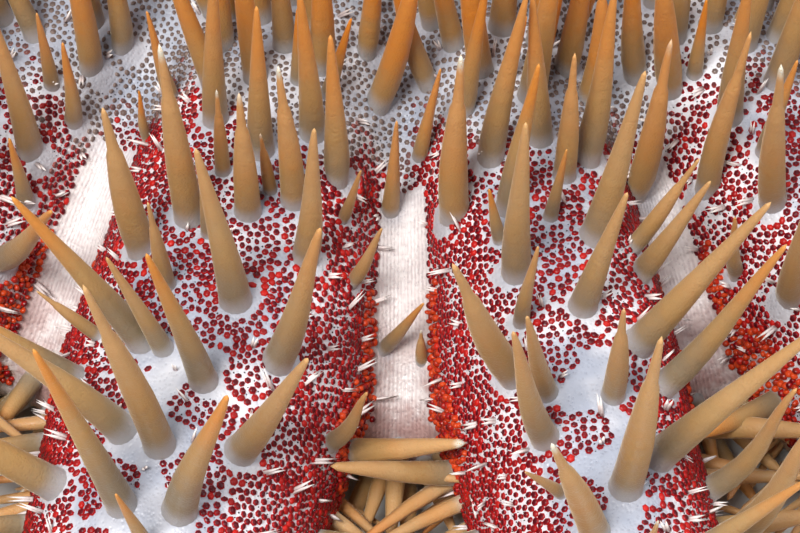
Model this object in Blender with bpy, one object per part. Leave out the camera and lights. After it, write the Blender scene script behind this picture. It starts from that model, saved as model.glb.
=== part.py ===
"""Crown of thorns starfish at life size: a domed disc, sixteen arms and their long spines.

The animal lies flat on its underside. Its frame is in metres with +Z up, and the origin is
on the floor under the middle of the disc. The -Y side holds the valley between the two front arms.
"""

import math
import random

import bmesh
import bpy
from mathutils import Vector

# Driving dimensions
ARM_COUNT = 16
AXIL_RADIUS = 0.0867
ARM_REACH = 0.150
CENTRE_HEIGHT = 0.037
BACK_FALL = 0.0075
VALLEY_DEPTH = 0.020
VALLEY_START = 0.030
# The flat web along a valley begins at this share of a sector's half width
WEB_SHARE = 0.82
# An arm's shoulders on the disc: how square they are in the middle and at the rim
FLANK_POWER = 0.80
RIM_FLANK_POWER = 0.45
NODE_GAP = 0.0003

# Widths of the two front arms' sectors; the other arms share what is left
FRONT_LEFT_SECTOR = math.radians(25.0)
FRONT_RIGHT_SECTOR = math.radians(20.0)

# Arm form
ARM_TAPER = 0.38
ARM_TIP_FALL = 0.50
SIDE_HEIGHT_SHARE = 0.38
FURROW_DEPTH = 0.0045
TIP_LIFT = 0.004
ARM_STATIONS = (0.0, 0.0, 0.17, 0.34, 0.52, 0.70, 0.86, 0.96, 1.0)
ARM_SIDES = 16
LENGTH_SPREAD = 0.004
BEND_SPREAD = 0.005

# Disc form: shares of the rim's radius for the rings on the back and on the underside
BACK_RINGS = (0.0, 0.30, 0.55, 0.75, 0.89, 1.0)
UNDER_RINGS = (1.0, 0.72, 0.40, 0.13, 0.0)
# Steps across a sector, as shares of its half width from one valley up to the next
SECTOR_STEPS = (-1.0, -WEB_SHARE, -0.68, -0.42, 0.0, 0.42, 0.68, WEB_SHARE)
SOLE_HEIGHT = 0.001
SEAM_HEIGHT = 0.003
MOUTH_DEPTH = 0.007

# Spine form
SPINE_SIDES = 5
SPINE_RADIUS = 0.00142
SPINE_WAIST_RADIUS = 0.00104
SPINE_WAIST_SHARE = 0.42
SPINE_LENGTH = 0.026
SPINE_SINK = 0.0028
SPINE_CLEARANCE = 0.0038
CUT_CLEARANCE = 0.0024

# Spine lean: outwards along the arm, and sideways for a spine at the arm's edge
LEAN_OUT_DISC = math.radians(10.0)
LEAN_OUT_ARM = math.radians(16.0)
LEAN_SIDE_DISC = math.radians(10.0)
LEAN_SIDE_ARM = math.radians(60.0)
LEAN_OUT_TIP = math.radians(34.0)
LEAN_TIP_START = 0.70
LEAN_START = 0.070
LEAN_FULL = 0.098
LEAN_STEP = 0.88
LEAN_TRIALS = 12

# Rings of spines on the middle of the disc: radius and count
MIDDLE_RINGS = ((0.010, 4), (0.024, 9), (0.037, 14))
MIDDLE_TWIST = 60.0
# Rows in a plain sector: distance from the centre, and places across it as shares of half its width
SECTOR_ROWS = (
    (0.050, (0.0,)),
    (0.060, (-0.55, 0.55)),
    (0.070, (0.0,)),
    (0.080, (-0.60, 0.0, 0.60)),
)
ARM_ROWS = (
    (0.090, (-0.30, 0.30)),
    (0.101, (-0.66, 0.0, 0.66)),
    (0.113, (-0.96, -0.36, 0.36, 0.96)),
    (0.125, (-0.72, 0.0, 0.72)),
    (0.137, (-0.92, 0.0, 0.92)),
    (0.1465, (-0.60, 0.60)),
)
# The two front arms as the animal holds them. Each spine: millimetres out along the arm and across
# it, its length in millimetres and its sideways lean in degrees
FRONT_LEFT_SPINES = (
    (58, -6, 25, 4), (59, 5, 25, 3), (67, -4, 24, 5), (67, 6, 22, 1), (70, 1, 22, 4), (71, 10, 23, 2),
    (75, 6, 22, 1), (76, 1.5, 20, 3), (79, -3.5, 27, 1), (80, 9, 22, 7), (82, -8.5, 23, -1),
    (87, 3, 26, -1), (91, 9, 27, 14), (92, -4.5, 27, -17), (95, -10, 16, -45), (94, 13.5, 14, 50),
    (96, 3, 24, -4), (101, 8, 24, 21), (101.5, -5, 24, -27), (103, 0.5, 30, -3), (106, -9, 24, -40),
    (108.5, 4.5, 28, 16), (109, -2, 30, -4), (114, 9, 22, 45), (115, -8, 22, -40),
)
FRONT_RIGHT_SPINES = (
    (55, 0, 25, 0), (60, 6, 24, 2), (64, -6, 20, 3), (69, 1, 22, -6), (70, -4.5, 24, 4), (71, 6, 25, 1),
    (72, 11, 24, 2), (73.5, -10, 25, -2), (75, 2, 20, -2), (76, -4, 23, 3), (80, 4, 27, 4),
    (82, 9.5, 18, 17), (83, -4.5, 26, -3), (88, 1, 21, 5), (91.5, 5.5, 27, 24), (93, -7.5, 25, -18),
    (96, -3, 18, -12), (96, 9, 27, 20), (98, 2, 19, -4), (100.5, -7, 24, -13), (103.5, 5, 27, 23),
    (107, 0.5, 31, -1), (107, 10, 27, 11), (110, -4.5, 24, -16), (112, 5.5, 18, 27), (114, -10, 22, -45),
)
FRONT_ARM_ROWS_FROM = 0.118
SPINE_SHARES_AT_TIP = 0.62


class Sector:
    """One arm's share of the circle, with its own length and bend."""

    def __init__(self, index, start, width, chance):
        self.name = f"arm_{index + 1:02d}"
        self.half = width / 2
        self.angle = start + self.half
        self.rim = AXIL_RADIUS * math.cos(self.half)
        self.root = self.rim + NODE_GAP
        self.length = ARM_REACH + chance.uniform(-LENGTH_SPREAD, LENGTH_SPREAD) - self.root
        self.bend = chance.uniform(-BEND_SPREAD, BEND_SPREAD)
        self.root_width = WEB_SHARE * AXIL_RADIUS * math.sin(self.half) - NODE_GAP
        self.out = Vector((math.cos(self.angle), math.sin(self.angle), 0.0))
        self.side = Vector((-math.sin(self.angle), math.cos(self.angle), 0.0))

    def place(self, along, across, height):
        """The world point at a distance out along this arm's line and across it."""
        return self.out * along + self.side * across + Vector((0.0, 0.0, height))

    def half_width(self, along):
        """Half the arm's width, on the disc or beyond it."""
        if along < self.rim:
            return WEB_SHARE * along * math.tan(self.half)
        return arm_half_width(self, self.share(along))

    def share(self, along):
        """How far out the arm a distance is, from 0 at its root to 1 at its tip."""
        return min(1.0, max(0.0, (along - self.root) / self.length))


def smooth(value, low, high):
    """An even rise from 0 at low to 1 at high."""
    t = min(1.0, max(0.0, (value - low) / (high - low)))
    return t * t * (3 - 2 * t)


def back_height(radius):
    """Height of an arm's back on the disc."""
    return CENTRE_HEIGHT - BACK_FALL * (radius / AXIL_RADIUS) ** 2.2


def valley_height(radius):
    """Height of the valley's floor between two arms."""
    t = max(0.0, (radius - VALLEY_START) / (AXIL_RADIUS - VALLEY_START))
    return back_height(radius) - VALLEY_DEPTH * t**2.2


def disc_height(sector, along, across):
    """Height of the disc's back at a place in a sector."""
    radius = along / math.cos(sector.half)
    share = min(1.0, abs(across) / max(sector.half_width(along), 1e-9))
    low, high = valley_height(radius), back_height(radius)
    power = FLANK_POWER + (RIM_FLANK_POWER - FLANK_POWER) * smooth(radius, VALLEY_START, AXIL_RADIUS)
    return low + (high - low) * (1 - share**2.5) ** power


def tip_rounding(share):
    """1 along the arm, falling to 0 at its very tip."""
    return math.sqrt(max(0.0, 1 - share**5))


def arm_half_width(sector, share):
    """Half the arm's width at a share of its length."""
    return sector.root_width * (1 - ARM_TAPER * share) * tip_rounding(share)


def arm_back_height(share):
    """Height of the arm's back at a share of its length."""
    root = back_height(AXIL_RADIUS)
    side = SIDE_HEIGHT_SHARE * root * (1 - ARM_TIP_FALL * share)
    crown = root * (1 - ARM_TIP_FALL * share)
    return side + (crown - side) * tip_rounding(share)


def arm_side_height(share):
    """Height of the arm's widest edge at a share of its length."""
    return SIDE_HEIGHT_SHARE * back_height(AXIL_RADIUS) * (1 - ARM_TIP_FALL * share)


def arm_point(sector, share, around):
    """The world point on an arm's skin, around its section from the side over the back."""
    across, up = math.cos(around), math.sin(around)
    width, edge = arm_half_width(sector, share), arm_side_height(share)
    if up >= 0:
        lateral = width * math.copysign(abs(across) ** 0.8, across)
        height = edge + (arm_back_height(share) - edge) * up**0.9
    else:
        lateral = width * math.copysign(abs(across) ** 1.3, across)
        height = edge * max(0.0, 1 - (up / 0.70) ** 2)
        if up < -0.99:
            height = FURROW_DEPTH
    height += TIP_LIFT * smooth(share, 0.80, 1.0)
    along = sector.root + share * sector.length
    return sector.place(along, lateral + sector.bend * share**2, height)


def make_sectors():
    """The sixteen sectors, from the valley at the front round to it again."""
    chance = random.Random(16)
    plain = (math.tau - FRONT_LEFT_SECTOR - FRONT_RIGHT_SECTOR) / (ARM_COUNT - 2)
    widths = [FRONT_RIGHT_SECTOR] + [plain] * (ARM_COUNT - 2) + [FRONT_LEFT_SECTOR]
    sectors, start = [], -math.pi / 2
    for index, width in enumerate(widths):
        sectors.append(Sector(index, start, width, chance))
        start += width
    return sectors


def make_material(name, colour, roughness):
    """A plain skin material."""
    material = bpy.data.materials.new(name)
    material.use_nodes = True
    shader = material.node_tree.nodes["Principled BSDF"]
    shader.inputs["Base Color"].default_value = (*colour, 1.0)
    shader.inputs["Roughness"].default_value = roughness
    shader.inputs["Metallic"].default_value = 0.0
    return material


def add_object(name, mesh, collection, material):
    """A named object for a mesh, in a collection."""
    obj = bpy.data.objects.new(name, mesh)
    mesh.materials.append(material)
    collection.objects.link(obj)
    return obj


def sphere_to_mesh(name, around_steps, along_steps, shape):
    """A mesh from a sphere whose every point is moved by shape(ring, step around)."""
    bm = bmesh.new()
    bmesh.ops.create_uvsphere(bm, u_segments=around_steps, v_segments=along_steps, radius=1.0)
    for vert in bm.verts:
        ring = round(math.acos(max(-1.0, min(1.0, vert.co.z))) / math.pi * along_steps)
        turn = math.atan2(vert.co.y, vert.co.x) / math.tau * around_steps
        vert.co = shape(ring, round(turn) % around_steps)
    bmesh.ops.triangulate(bm, faces=bm.faces[:])
    bmesh.ops.recalc_face_normals(bm, faces=bm.faces[:])
    mesh = bpy.data.meshes.new(name)
    bm.to_mesh(mesh)
    bm.free()
    return mesh


def make_disc(sectors, collection, material):
    """The disc: a lobed dome with valleys on its back, furrows and a mouth under it."""
    steps = ARM_COUNT * len(SECTOR_STEPS)
    rings = len(BACK_RINGS)

    def shape(ring, step):
        sector = sectors[step // len(SECTOR_STEPS)]
        offset = SECTOR_STEPS[step % len(SECTOR_STEPS)]
        turn = offset * sector.half
        on_back = ring < rings
        reach = BACK_RINGS[ring] if on_back else UNDER_RINGS[ring - rings]
        along = reach * sector.rim
        across = along * math.tan(turn)
        if on_back:
            return sector.place(along, across, disc_height(sector, along, across))
        if reach == 0.0:
            return Vector((0.0, 0.0, MOUTH_DEPTH))
        if offset == 0.0:
            return sector.place(along, across, FURROW_DEPTH)
        return sector.place(along, across, SEAM_HEIGHT if offset == -1.0 else SOLE_HEIGHT)

    mesh = sphere_to_mesh("disc", steps, rings + len(UNDER_RINGS) - 1, shape)
    return add_object("disc", mesh, collection, material)


def make_arm(sector, collection, material):
    """One arm: a tapering loft with a rounded back, two flat soles and a furrow between them."""

    def shape(ring, step):
        share = ARM_STATIONS[ring]
        if ring == 0:
            return sector.place(sector.root, 0.0, arm_side_height(0.0))
        if ring == len(ARM_STATIONS) - 1:
            height = arm_side_height(1.0) + TIP_LIFT
            return sector.place(sector.root + sector.length, sector.bend, height)
        return arm_point(sector, share, step / ARM_SIDES * math.tau)

    mesh = sphere_to_mesh(sector.name, ARM_SIDES, len(ARM_STATIONS) - 1, shape)
    return add_object(sector.name, mesh, collection, material)


def surface_point(sector, along, across):
    """The world point on the back of the disc or of an arm."""
    if along < sector.rim:
        return sector.place(along, across, disc_height(sector, along, across))
    share = sector.share(along)
    reach = min(1.0, abs(across) / max(arm_half_width(sector, share), 1e-9))
    around = math.acos(math.copysign(reach ** (1 / 0.8), across))
    return arm_point(sector, share, around)


def spine_direction(sector, along, across, length, lean):
    """Which way a spine points, for its sideways lean, kept over its own arm's sector."""
    outward = LEAN_OUT_DISC + (LEAN_OUT_ARM - LEAN_OUT_DISC) * smooth(along, LEAN_START, LEAN_FULL)
    outward += LEAN_OUT_TIP * smooth(sector.share(along), LEAN_TIP_START, 1.0)
    for _ in range(LEAN_TRIALS):
        direction = (
            sector.out * math.sin(outward)
            + sector.side * math.cos(outward) * math.sin(lean)
            + Vector((0.0, 0.0, math.cos(outward) * math.cos(lean)))
        )
        tip = surface_point(sector, along, across) + direction * length
        room = tip.dot(sector.out) * math.tan(sector.half) - 2 * SPINE_RADIUS
        if along < sector.rim or abs(tip.dot(sector.side)) < room:
            break
        lean *= LEAN_STEP
    return direction


def gap_between(first, second):
    """The least distance between two spines' centre lines, tried at steps along both."""
    steps = [k / 10 for k in range(11)]
    ends = [[a.lerp(b, t) for t in steps] for a, b in (first, second)]
    return min((p - q).length for p in ends[0] for q in ends[1])


def plan_spines(sectors):
    """Every spine as (node name, root, tip), none of them touching another."""
    wanted = []
    for radius, count in MIDDLE_RINGS:
        for k in range(count):
            turn = math.tau * k / count + radius * MIDDLE_TWIST
            outward = Vector((math.cos(turn), math.sin(turn), 0.0))
            lean = LEAN_OUT_DISC * radius / LEAN_START
            root = outward * radius + Vector((0.0, 0.0, back_height(radius)))
            direction = outward * math.sin(lean) + Vector((0.0, 0.0, math.cos(lean)))
            wanted.append(("disc", root, root + direction * SPINE_LENGTH))
    for sector in sectors:
        for along, across, length, lean in sector_spines(sector, sectors):
            node = "disc" if along < sector.rim else sector.name
            along = clear_of_cut(sector, along)
            root = surface_point(sector, along, across)
            direction = spine_direction(sector, along, across, length, lean)
            wanted.append((node, root, root + direction * length))
    kept = []
    for spine in wanted:
        if all(gap_between(spine[1:], other[1:]) > SPINE_CLEARANCE for other in kept):
            kept.append(spine)
    return kept


def clear_of_cut(sector, along):
    """A spine's distance out, moved clear of the joint between the disc and the arm."""
    if abs(along - sector.rim) > CUT_CLEARANCE:
        return along
    return sector.rim + math.copysign(CUT_CLEARANCE, along - sector.rim)


def sector_spines(sector, sectors):
    """(along, across, length, sideways lean) of a sector's spines, in metres and radians."""
    front = {sectors[0].name: FRONT_RIGHT_SPINES, sectors[-1].name: FRONT_LEFT_SPINES}
    plan = front.get(sector.name, ())
    places = [(x / 1000, y / 1000, long / 1000, math.radians(lean)) for x, y, long, lean in plan]
    for along, shares in SECTOR_ROWS + ARM_ROWS:
        if plan and along < FRONT_ARM_ROWS_FROM:
            continue
        length = SPINE_LENGTH * (1 - (1 - SPINE_SHARES_AT_TIP) * sector.share(along))
        on_arm = smooth(along, LEAN_START, LEAN_FULL)
        lean = LEAN_SIDE_DISC + (LEAN_SIDE_ARM - LEAN_SIDE_DISC) * on_arm
        for share in shares:
            places.append((along, share * sector.half_width(along), length, share * lean))
    return places


def make_spine(name, root, tip, collection, material):
    """A pointed spine with a slightly swollen lower half, its root sunk in the skin."""
    axis = (tip - root).normalized()
    foot = root - axis * SPINE_SINK
    height = (tip - foot).length
    bm = bmesh.new()
    bmesh.ops.create_cone(
        bm, cap_ends=True, segments=SPINE_SIDES, radius1=SPINE_RADIUS, radius2=0.0, depth=height
    )
    waist = height * (SPINE_WAIST_SHARE - 0.5)
    cut = bmesh.ops.bisect_plane(
        bm, geom=bm.verts[:] + bm.edges[:] + bm.faces[:],
        plane_co=(0.0, 0.0, waist), plane_no=(0.0, 0.0, 1.0),
    )
    for item in cut["geom_cut"]:
        if isinstance(item, bmesh.types.BMVert):
            flat = Vector((item.co.x, item.co.y, 0.0)).normalized() * SPINE_WAIST_RADIUS
            item.co = Vector((flat.x, flat.y, waist))
    turn = axis.to_track_quat("Z", "Y").to_matrix()
    for vert in bm.verts:
        vert.co = foot + turn @ (vert.co + Vector((0.0, 0.0, height / 2)))
    mesh = bpy.data.meshes.new(name)
    bm.to_mesh(mesh)
    bm.free()
    return add_object(name, mesh, collection, material)


def keep_largest(mesh):
    """Leaves only a mesh's largest closed surface."""
    bm = bmesh.new()
    bm.from_mesh(mesh)
    bmesh.ops.triangulate(bm, faces=bm.faces[:])
    left, groups = set(bm.faces), []
    while left:
        group, edge = set(), [left.pop()]
        while edge:
            face = edge.pop()
            group.add(face)
            for side in face.edges:
                for other in side.link_faces:
                    if other in left:
                        left.discard(other)
                        edge.append(other)
        groups.append(group)
    largest = max(groups, key=lambda faces: sum(face.calc_area() for face in faces))
    loose = [face for face in bm.faces if face not in largest]
    bmesh.ops.delete(bm, geom=loose, context="FACES")
    bm.to_mesh(mesh)
    bm.free()


def join_spines(body, spines):
    """Fuses a collection of spines into a body, then removes them."""
    boolean = body.modifiers.new("spines", "BOOLEAN")
    boolean.operation = "UNION"
    boolean.operand_type = "COLLECTION"
    boolean.collection = spines
    boolean.solver = "EXACT"
    bpy.context.view_layer.update()
    graph = bpy.context.evaluated_depsgraph_get()
    mesh = bpy.data.meshes.new_from_object(body.evaluated_get(graph))
    body.modifiers.clear()
    body.data = mesh
    keep_largest(mesh)
    for obj in list(spines.objects):
        bpy.data.objects.remove(obj)
    bpy.data.collections.remove(spines)


def build():
    """Clears the scene and models the starfish."""
    for obj in list(bpy.data.objects):
        bpy.data.objects.remove(obj)
    starfish = bpy.data.collections.new("crown_of_thorns_starfish")
    bpy.context.scene.collection.children.link(starfish)
    skin = make_material("disc_skin", (0.62, 0.60, 0.66), 0.55)
    arm_skin = make_material("arm_skin", (0.62, 0.22, 0.20), 0.55)
    sectors = make_sectors()
    bodies = {"disc": make_disc(sectors, starfish, skin)}
    for sector in sectors:
        bodies[sector.name] = make_arm(sector, starfish, arm_skin)
    spines = plan_spines(sectors)
    for name, body in bodies.items():
        own = bpy.data.collections.new(f"{name}_spines")
        bpy.context.scene.collection.children.link(own)
        for index, (node, root, tip) in enumerate(spines):
            if node == name:
                make_spine(f"{name}_spine_{index}", root, tip, own, body.data.materials[0])
        join_spines(body, own)


build()
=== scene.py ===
"""The looks of a life-size crown of thorns starfish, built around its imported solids.

One skin stands for the disc and the sixteen arms. The spines, the papulae that colour the back,
the white pincer bristles, the fringe along the arms, the tube feet and the mouth are set on it.
All sizes are in metres, +Z up, in the solids' own frame.
"""

import logging
import math
import random
from dataclasses import dataclass, field
from enum import Enum
from typing import Callable

import bpy
import numpy as np
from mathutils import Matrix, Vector
from mathutils.bvhtree import BVHTree
from mathutils.kdtree import KDTree


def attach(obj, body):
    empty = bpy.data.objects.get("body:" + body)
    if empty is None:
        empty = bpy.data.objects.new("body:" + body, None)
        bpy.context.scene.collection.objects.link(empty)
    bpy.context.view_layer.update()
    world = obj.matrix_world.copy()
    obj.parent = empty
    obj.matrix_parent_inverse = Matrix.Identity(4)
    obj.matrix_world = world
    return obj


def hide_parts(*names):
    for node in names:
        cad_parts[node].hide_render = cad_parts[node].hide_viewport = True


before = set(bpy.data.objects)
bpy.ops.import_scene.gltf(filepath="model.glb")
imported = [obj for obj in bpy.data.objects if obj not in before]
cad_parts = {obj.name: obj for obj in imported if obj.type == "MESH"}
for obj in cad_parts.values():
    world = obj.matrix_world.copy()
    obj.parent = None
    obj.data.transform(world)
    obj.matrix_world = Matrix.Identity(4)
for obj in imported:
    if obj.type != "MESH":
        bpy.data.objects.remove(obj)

LOG = logging.getLogger("starfish")
MM = 0.001
BODY = "root"
UP = np.array([0.0, 0.0, 1.0])
Colour = tuple[float, float, float]
Span = tuple[float, float]
# Width of the plan of the starfish that the bake maps lay out
BAKE_SPAN = 0.36
# Share of a copy's length over which it turns from the skin's slope to its own axis
FOOT_SHARE = 0.20
# Cosines between a copy's axis and the skin's normal from which its foot turns, first a little, then in full
FOOT_LEANS = (0.2, 0.8)
# Turns that a copy makes round its axis as its tone goes from 0 to 1, in radians
TONE_TURN = 40.0
# Neighbours that push each papula, and the share of the missing gap that each push makes up
NEIGHBOURS = 7
PUSH_SHARE = 0.28
# Nothing small reaches lower than this above the floor
LOWEST = 0.0002


class Slot(Enum):
    """The record's material slots."""

    SKIN = "disc_skin"
    SPINES = "spines"
    PAPULAE = "papulae"
    UNDERSIDE = "underside"


def smooth(value, low: float, high: float):
    """An even rise from 0 at low to 1 at high.

    Args:
        value: A number or an array.
        low: Where the rise begins.
        high: Where the rise ends.

    Returns:
        The share risen, shaped like value.
    """
    t = np.clip((value - low) / (high - low), 0.0, 1.0)
    return t * t * (3 - 2 * t)


def unit(vectors: np.ndarray) -> np.ndarray:
    """Rows of vectors scaled to a length of one.

    Args:
        vectors: One vector to a row.

    Returns:
        The unit vectors.
    """
    return vectors / np.maximum(np.linalg.norm(vectors, axis=-1, keepdims=True), 1e-12)


def along_rows(first: np.ndarray, second: np.ndarray) -> np.ndarray:
    """The dot product of each row with the other array's row."""
    return np.einsum("ij,ij->i", first, second)


def heading(turn: float) -> np.ndarray:
    """The level unit vector at a turn from +X."""
    return np.array([math.cos(turn), math.sin(turn), 0.0])


def search_tree(points: np.ndarray | list[np.ndarray]) -> KDTree:
    """A tree that finds which points lie nearest to a place."""
    tree = KDTree(len(points))
    for index, point in enumerate(points):
        tree.insert(point, index)
    tree.balance()
    return tree


@dataclass
class StarfishForm:
    """The starfish's shape by formula, the same one that the solids follow.

    Sectors are counted from the front valley, one to an arm. An arm's share goes from 0 at its
    root to 1 at its tip.
    """

    arm_count: int = 16
    axil_radius: float = 0.0867
    arm_reach: float = 0.150
    centre_height: float = 0.037
    back_fall: float = 0.0075
    fall_power: float = 2.2
    back_power: float = 2.5
    tip_power: int = 5
    over_power: float = 0.8
    under_power: float = 1.3
    crown_power: float = 0.9
    sole_turn: float = 0.70
    furrow_turns: Span = (0.93, 0.995)
    valley_depth: float = 0.020
    valley_start: float = 0.030
    web_share: float = 0.82
    flank_power: float = 0.80
    rim_flank_power: float = 0.45
    node_gap: float = 0.0003
    front_left_sector: float = math.radians(25.0)
    front_right_sector: float = math.radians(20.0)
    arm_taper: float = 0.38
    arm_tip_fall: float = 0.50
    side_height_share: float = 0.38
    furrow_depth: float = 0.0045
    tip_lift: float = 0.004
    tip_lift_shares: Span = (0.80, 1.0)
    length_spread: float = 0.004
    bend_spread: float = 0.005
    sole_height: float = 0.001
    mouth_depth: float = 0.007
    start: np.ndarray = field(init=False)
    half: np.ndarray = field(init=False)
    angle: np.ndarray = field(init=False)
    rim: np.ndarray = field(init=False)
    root: np.ndarray = field(init=False)
    length: np.ndarray = field(init=False)
    bend: np.ndarray = field(init=False)
    root_width: np.ndarray = field(init=False)

    def __post_init__(self) -> None:
        """Works out each sector's place and its arm's own length and bend."""
        chance = random.Random(self.arm_count)
        plain = math.tau - self.front_left_sector - self.front_right_sector
        plain /= self.arm_count - 2
        widths = [self.front_right_sector] + [plain] * (self.arm_count - 2) + [self.front_left_sector]
        width = np.array(widths)
        self.half = width / 2
        self.start = -math.pi / 2 + np.concatenate([[0.0], np.cumsum(width)[:-1]])
        self.angle = self.start + self.half
        self.rim = self.axil_radius * np.cos(self.half)
        self.root = self.rim + self.node_gap
        draws = [
            (
                chance.uniform(-self.length_spread, self.length_spread),
                chance.uniform(-self.bend_spread, self.bend_spread),
            )
            for _ in widths
        ]
        self.length = self.arm_reach + np.array([longer for longer, _ in draws]) - self.root
        self.bend = np.array([bend for _, bend in draws])
        self.root_width = self.web_share * self.axil_radius * np.sin(self.half) - self.node_gap

    def place(self, sector, along, across, height) -> np.ndarray:
        """World points at distances out along arms' lines and across them.

        Args:
            sector: Index of each point's sector.
            along: Distance out from the centre along the arm's line.
            across: Distance across that line.
            height: Height above the floor.

        Returns:
            One point to a row.
        """
        turn = self.angle[sector]
        x = np.cos(turn) * along - np.sin(turn) * across
        y = np.sin(turn) * along + np.cos(turn) * across
        return np.stack(np.broadcast_arrays(x, y, height), axis=-1)

    def out(self, sector) -> np.ndarray:
        """Unit vectors out along the arms of these sectors."""
        turn = self.angle[sector]
        return np.stack([np.cos(turn), np.sin(turn), np.zeros_like(turn)], axis=-1)

    def aside(self, sector) -> np.ndarray:
        """Unit vectors across the arms of these sectors."""
        turn = self.angle[sector]
        return np.stack([-np.sin(turn), np.cos(turn), np.zeros_like(turn)], axis=-1)

    def share(self, sector, along):
        """How far out its arm a distance is, from 0 at the root to 1 at the tip."""
        return np.clip((along - self.root[sector]) / self.length[sector], 0.0, 1.0)

    def tip_rounding(self, share):
        """1 along the arm, falling to 0 at its very tip."""
        return np.sqrt(np.maximum(0.0, 1 - share**self.tip_power))

    def arm_half_width(self, sector, share):
        """Half the arm's width at a share of its length."""
        return self.root_width[sector] * (1 - self.arm_taper * share) * self.tip_rounding(share)

    def half_width(self, sector, along):
        """Half the arm's width, on the disc or beyond it."""
        on_disc = self.web_share * along * np.tan(self.half[sector])
        on_arm = self.arm_half_width(sector, self.share(sector, along))
        return np.where(along < self.rim[sector], on_disc, on_arm)

    def share_across(self, sector, along, across):
        """How far a place lies aside on its arm, from 0 on the midline to 1 at the edge."""
        return np.abs(across) / np.maximum(self.half_width(sector, along), 1e-6)

    def back_height(self, radius):
        """Height of an arm's back on the disc."""
        return self.centre_height - self.back_fall * (radius / self.axil_radius) ** self.fall_power

    def valley_height(self, radius):
        """Height of the valley's floor between two arms."""
        t = np.maximum(0.0, (radius - self.valley_start) / (self.axil_radius - self.valley_start))
        return self.back_height(radius) - self.valley_depth * t**self.fall_power

    def disc_height(self, sector, along, across):
        """Height of the disc's back at places in sectors."""
        radius = along / np.cos(self.half[sector])
        width = self.web_share * along * np.tan(self.half[sector])
        share = np.minimum(1.0, np.abs(across) / np.maximum(width, 1e-9))
        change = smooth(radius, self.valley_start, self.axil_radius)
        power = self.flank_power + (self.rim_flank_power - self.flank_power) * change
        low, high = self.valley_height(radius), self.back_height(radius)
        return low + (high - low) * np.maximum(0.0, 1 - share**self.back_power) ** power

    def arm_side_height(self, share):
        """Height of the arm's widest edge at a share of its length."""
        return self.side_height_share * self.back_height(self.axil_radius) * (
            1 - self.arm_tip_fall * share
        )

    def arm_back_height(self, share):
        """Height of the arm's back at a share of its length."""
        crown = self.back_height(self.axil_radius) * (1 - self.arm_tip_fall * share)
        side = self.arm_side_height(share)
        return side + (crown - side) * self.tip_rounding(share)

    def tip(self, sector: int) -> float:
        """Distance from the centre to an arm's tip."""
        return float(self.root[sector] + self.length[sector])

    def midline(self, sector, share):
        """How far the arm's bent midline lies aside at a share of its length."""
        return self.bend[sector] * share**2

    def lift(self, share):
        """How far the arm's tip is lifted at a share of its length."""
        return self.tip_lift * smooth(share, *self.tip_lift_shares)

    def arm_point(self, sector, share, around) -> np.ndarray:
        """World points on arms' skin, around the section from the side over the back.

        Args:
            sector: Index of each point's sector.
            share: Share of the arm's length.
            around: Turn round the section, 0 at one side and half a turn at the other.

        Returns:
            One point to a row.
        """
        across, up = np.cos(around), np.sin(around)
        width, edge = self.arm_half_width(sector, share), self.arm_side_height(share)
        over = up >= 0
        power = np.where(over, self.over_power, self.under_power)
        lateral = width * np.sign(across) * np.abs(across) ** power
        above = edge + (self.arm_back_height(share) - edge) * np.maximum(up, 0.0) ** self.crown_power
        below = edge * np.maximum(0.0, 1 - (up / self.sole_turn) ** 2)
        furrow = self.furrow_depth * smooth(-up, *self.furrow_turns)
        height = np.where(over, above, np.maximum(below, furrow))
        along = self.root[sector] + share * self.length[sector]
        return self.place(sector, along, lateral + self.midline(sector, share), height + self.lift(share))

    def surface_point(self, sector, along, across) -> np.ndarray:
        """World points on the back of the disc or of the arms."""
        disc = self.place(sector, along, across, self.disc_height(sector, along, across))
        share = self.share(sector, along)
        reach = np.minimum(1.0, np.abs(across) / np.maximum(self.arm_half_width(sector, share), 1e-9))
        around = np.arccos(np.sign(across) * reach ** (1 / self.over_power))
        arm = self.arm_point(sector, share, around)
        return np.where((along < self.rim[sector])[..., None], disc, arm)

    def surface_normal(self, sector: int, along: float, across: float, step: float = 0.0012) -> np.ndarray:
        """The way that the back faces at a place, smoothed over a small step."""
        ways = ((step, 0.0), (-step, 0.0), (0.0, step), (0.0, -step))
        ahead, behind, left, right = (
            self.surface_point(sector, np.array(along + out), np.array(across + side)) for out, side in ways
        )
        return unit(np.cross(ahead - behind, left - right))

    def locate(self, points: np.ndarray) -> tuple[np.ndarray, np.ndarray, np.ndarray]:
        """The sector, the distance out and the distance across of world points.

        Args:
            points: One point to a row.

        Returns:
            Sector indices, distances out along the arm, and distances from the arm's bent midline.
        """
        turn = np.arctan2(points[:, 1], points[:, 0])
        turn = np.mod(turn - self.start[0], math.tau) + self.start[0]
        sector = np.clip(np.searchsorted(self.start, turn, side="right") - 1, 0, self.arm_count - 1)
        radius = np.hypot(points[:, 0], points[:, 1])
        off = turn - self.angle[sector]
        along, across = radius * np.cos(off), radius * np.sin(off)
        return sector, along, across - self.midline(sector, self.share(sector, along))


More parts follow.
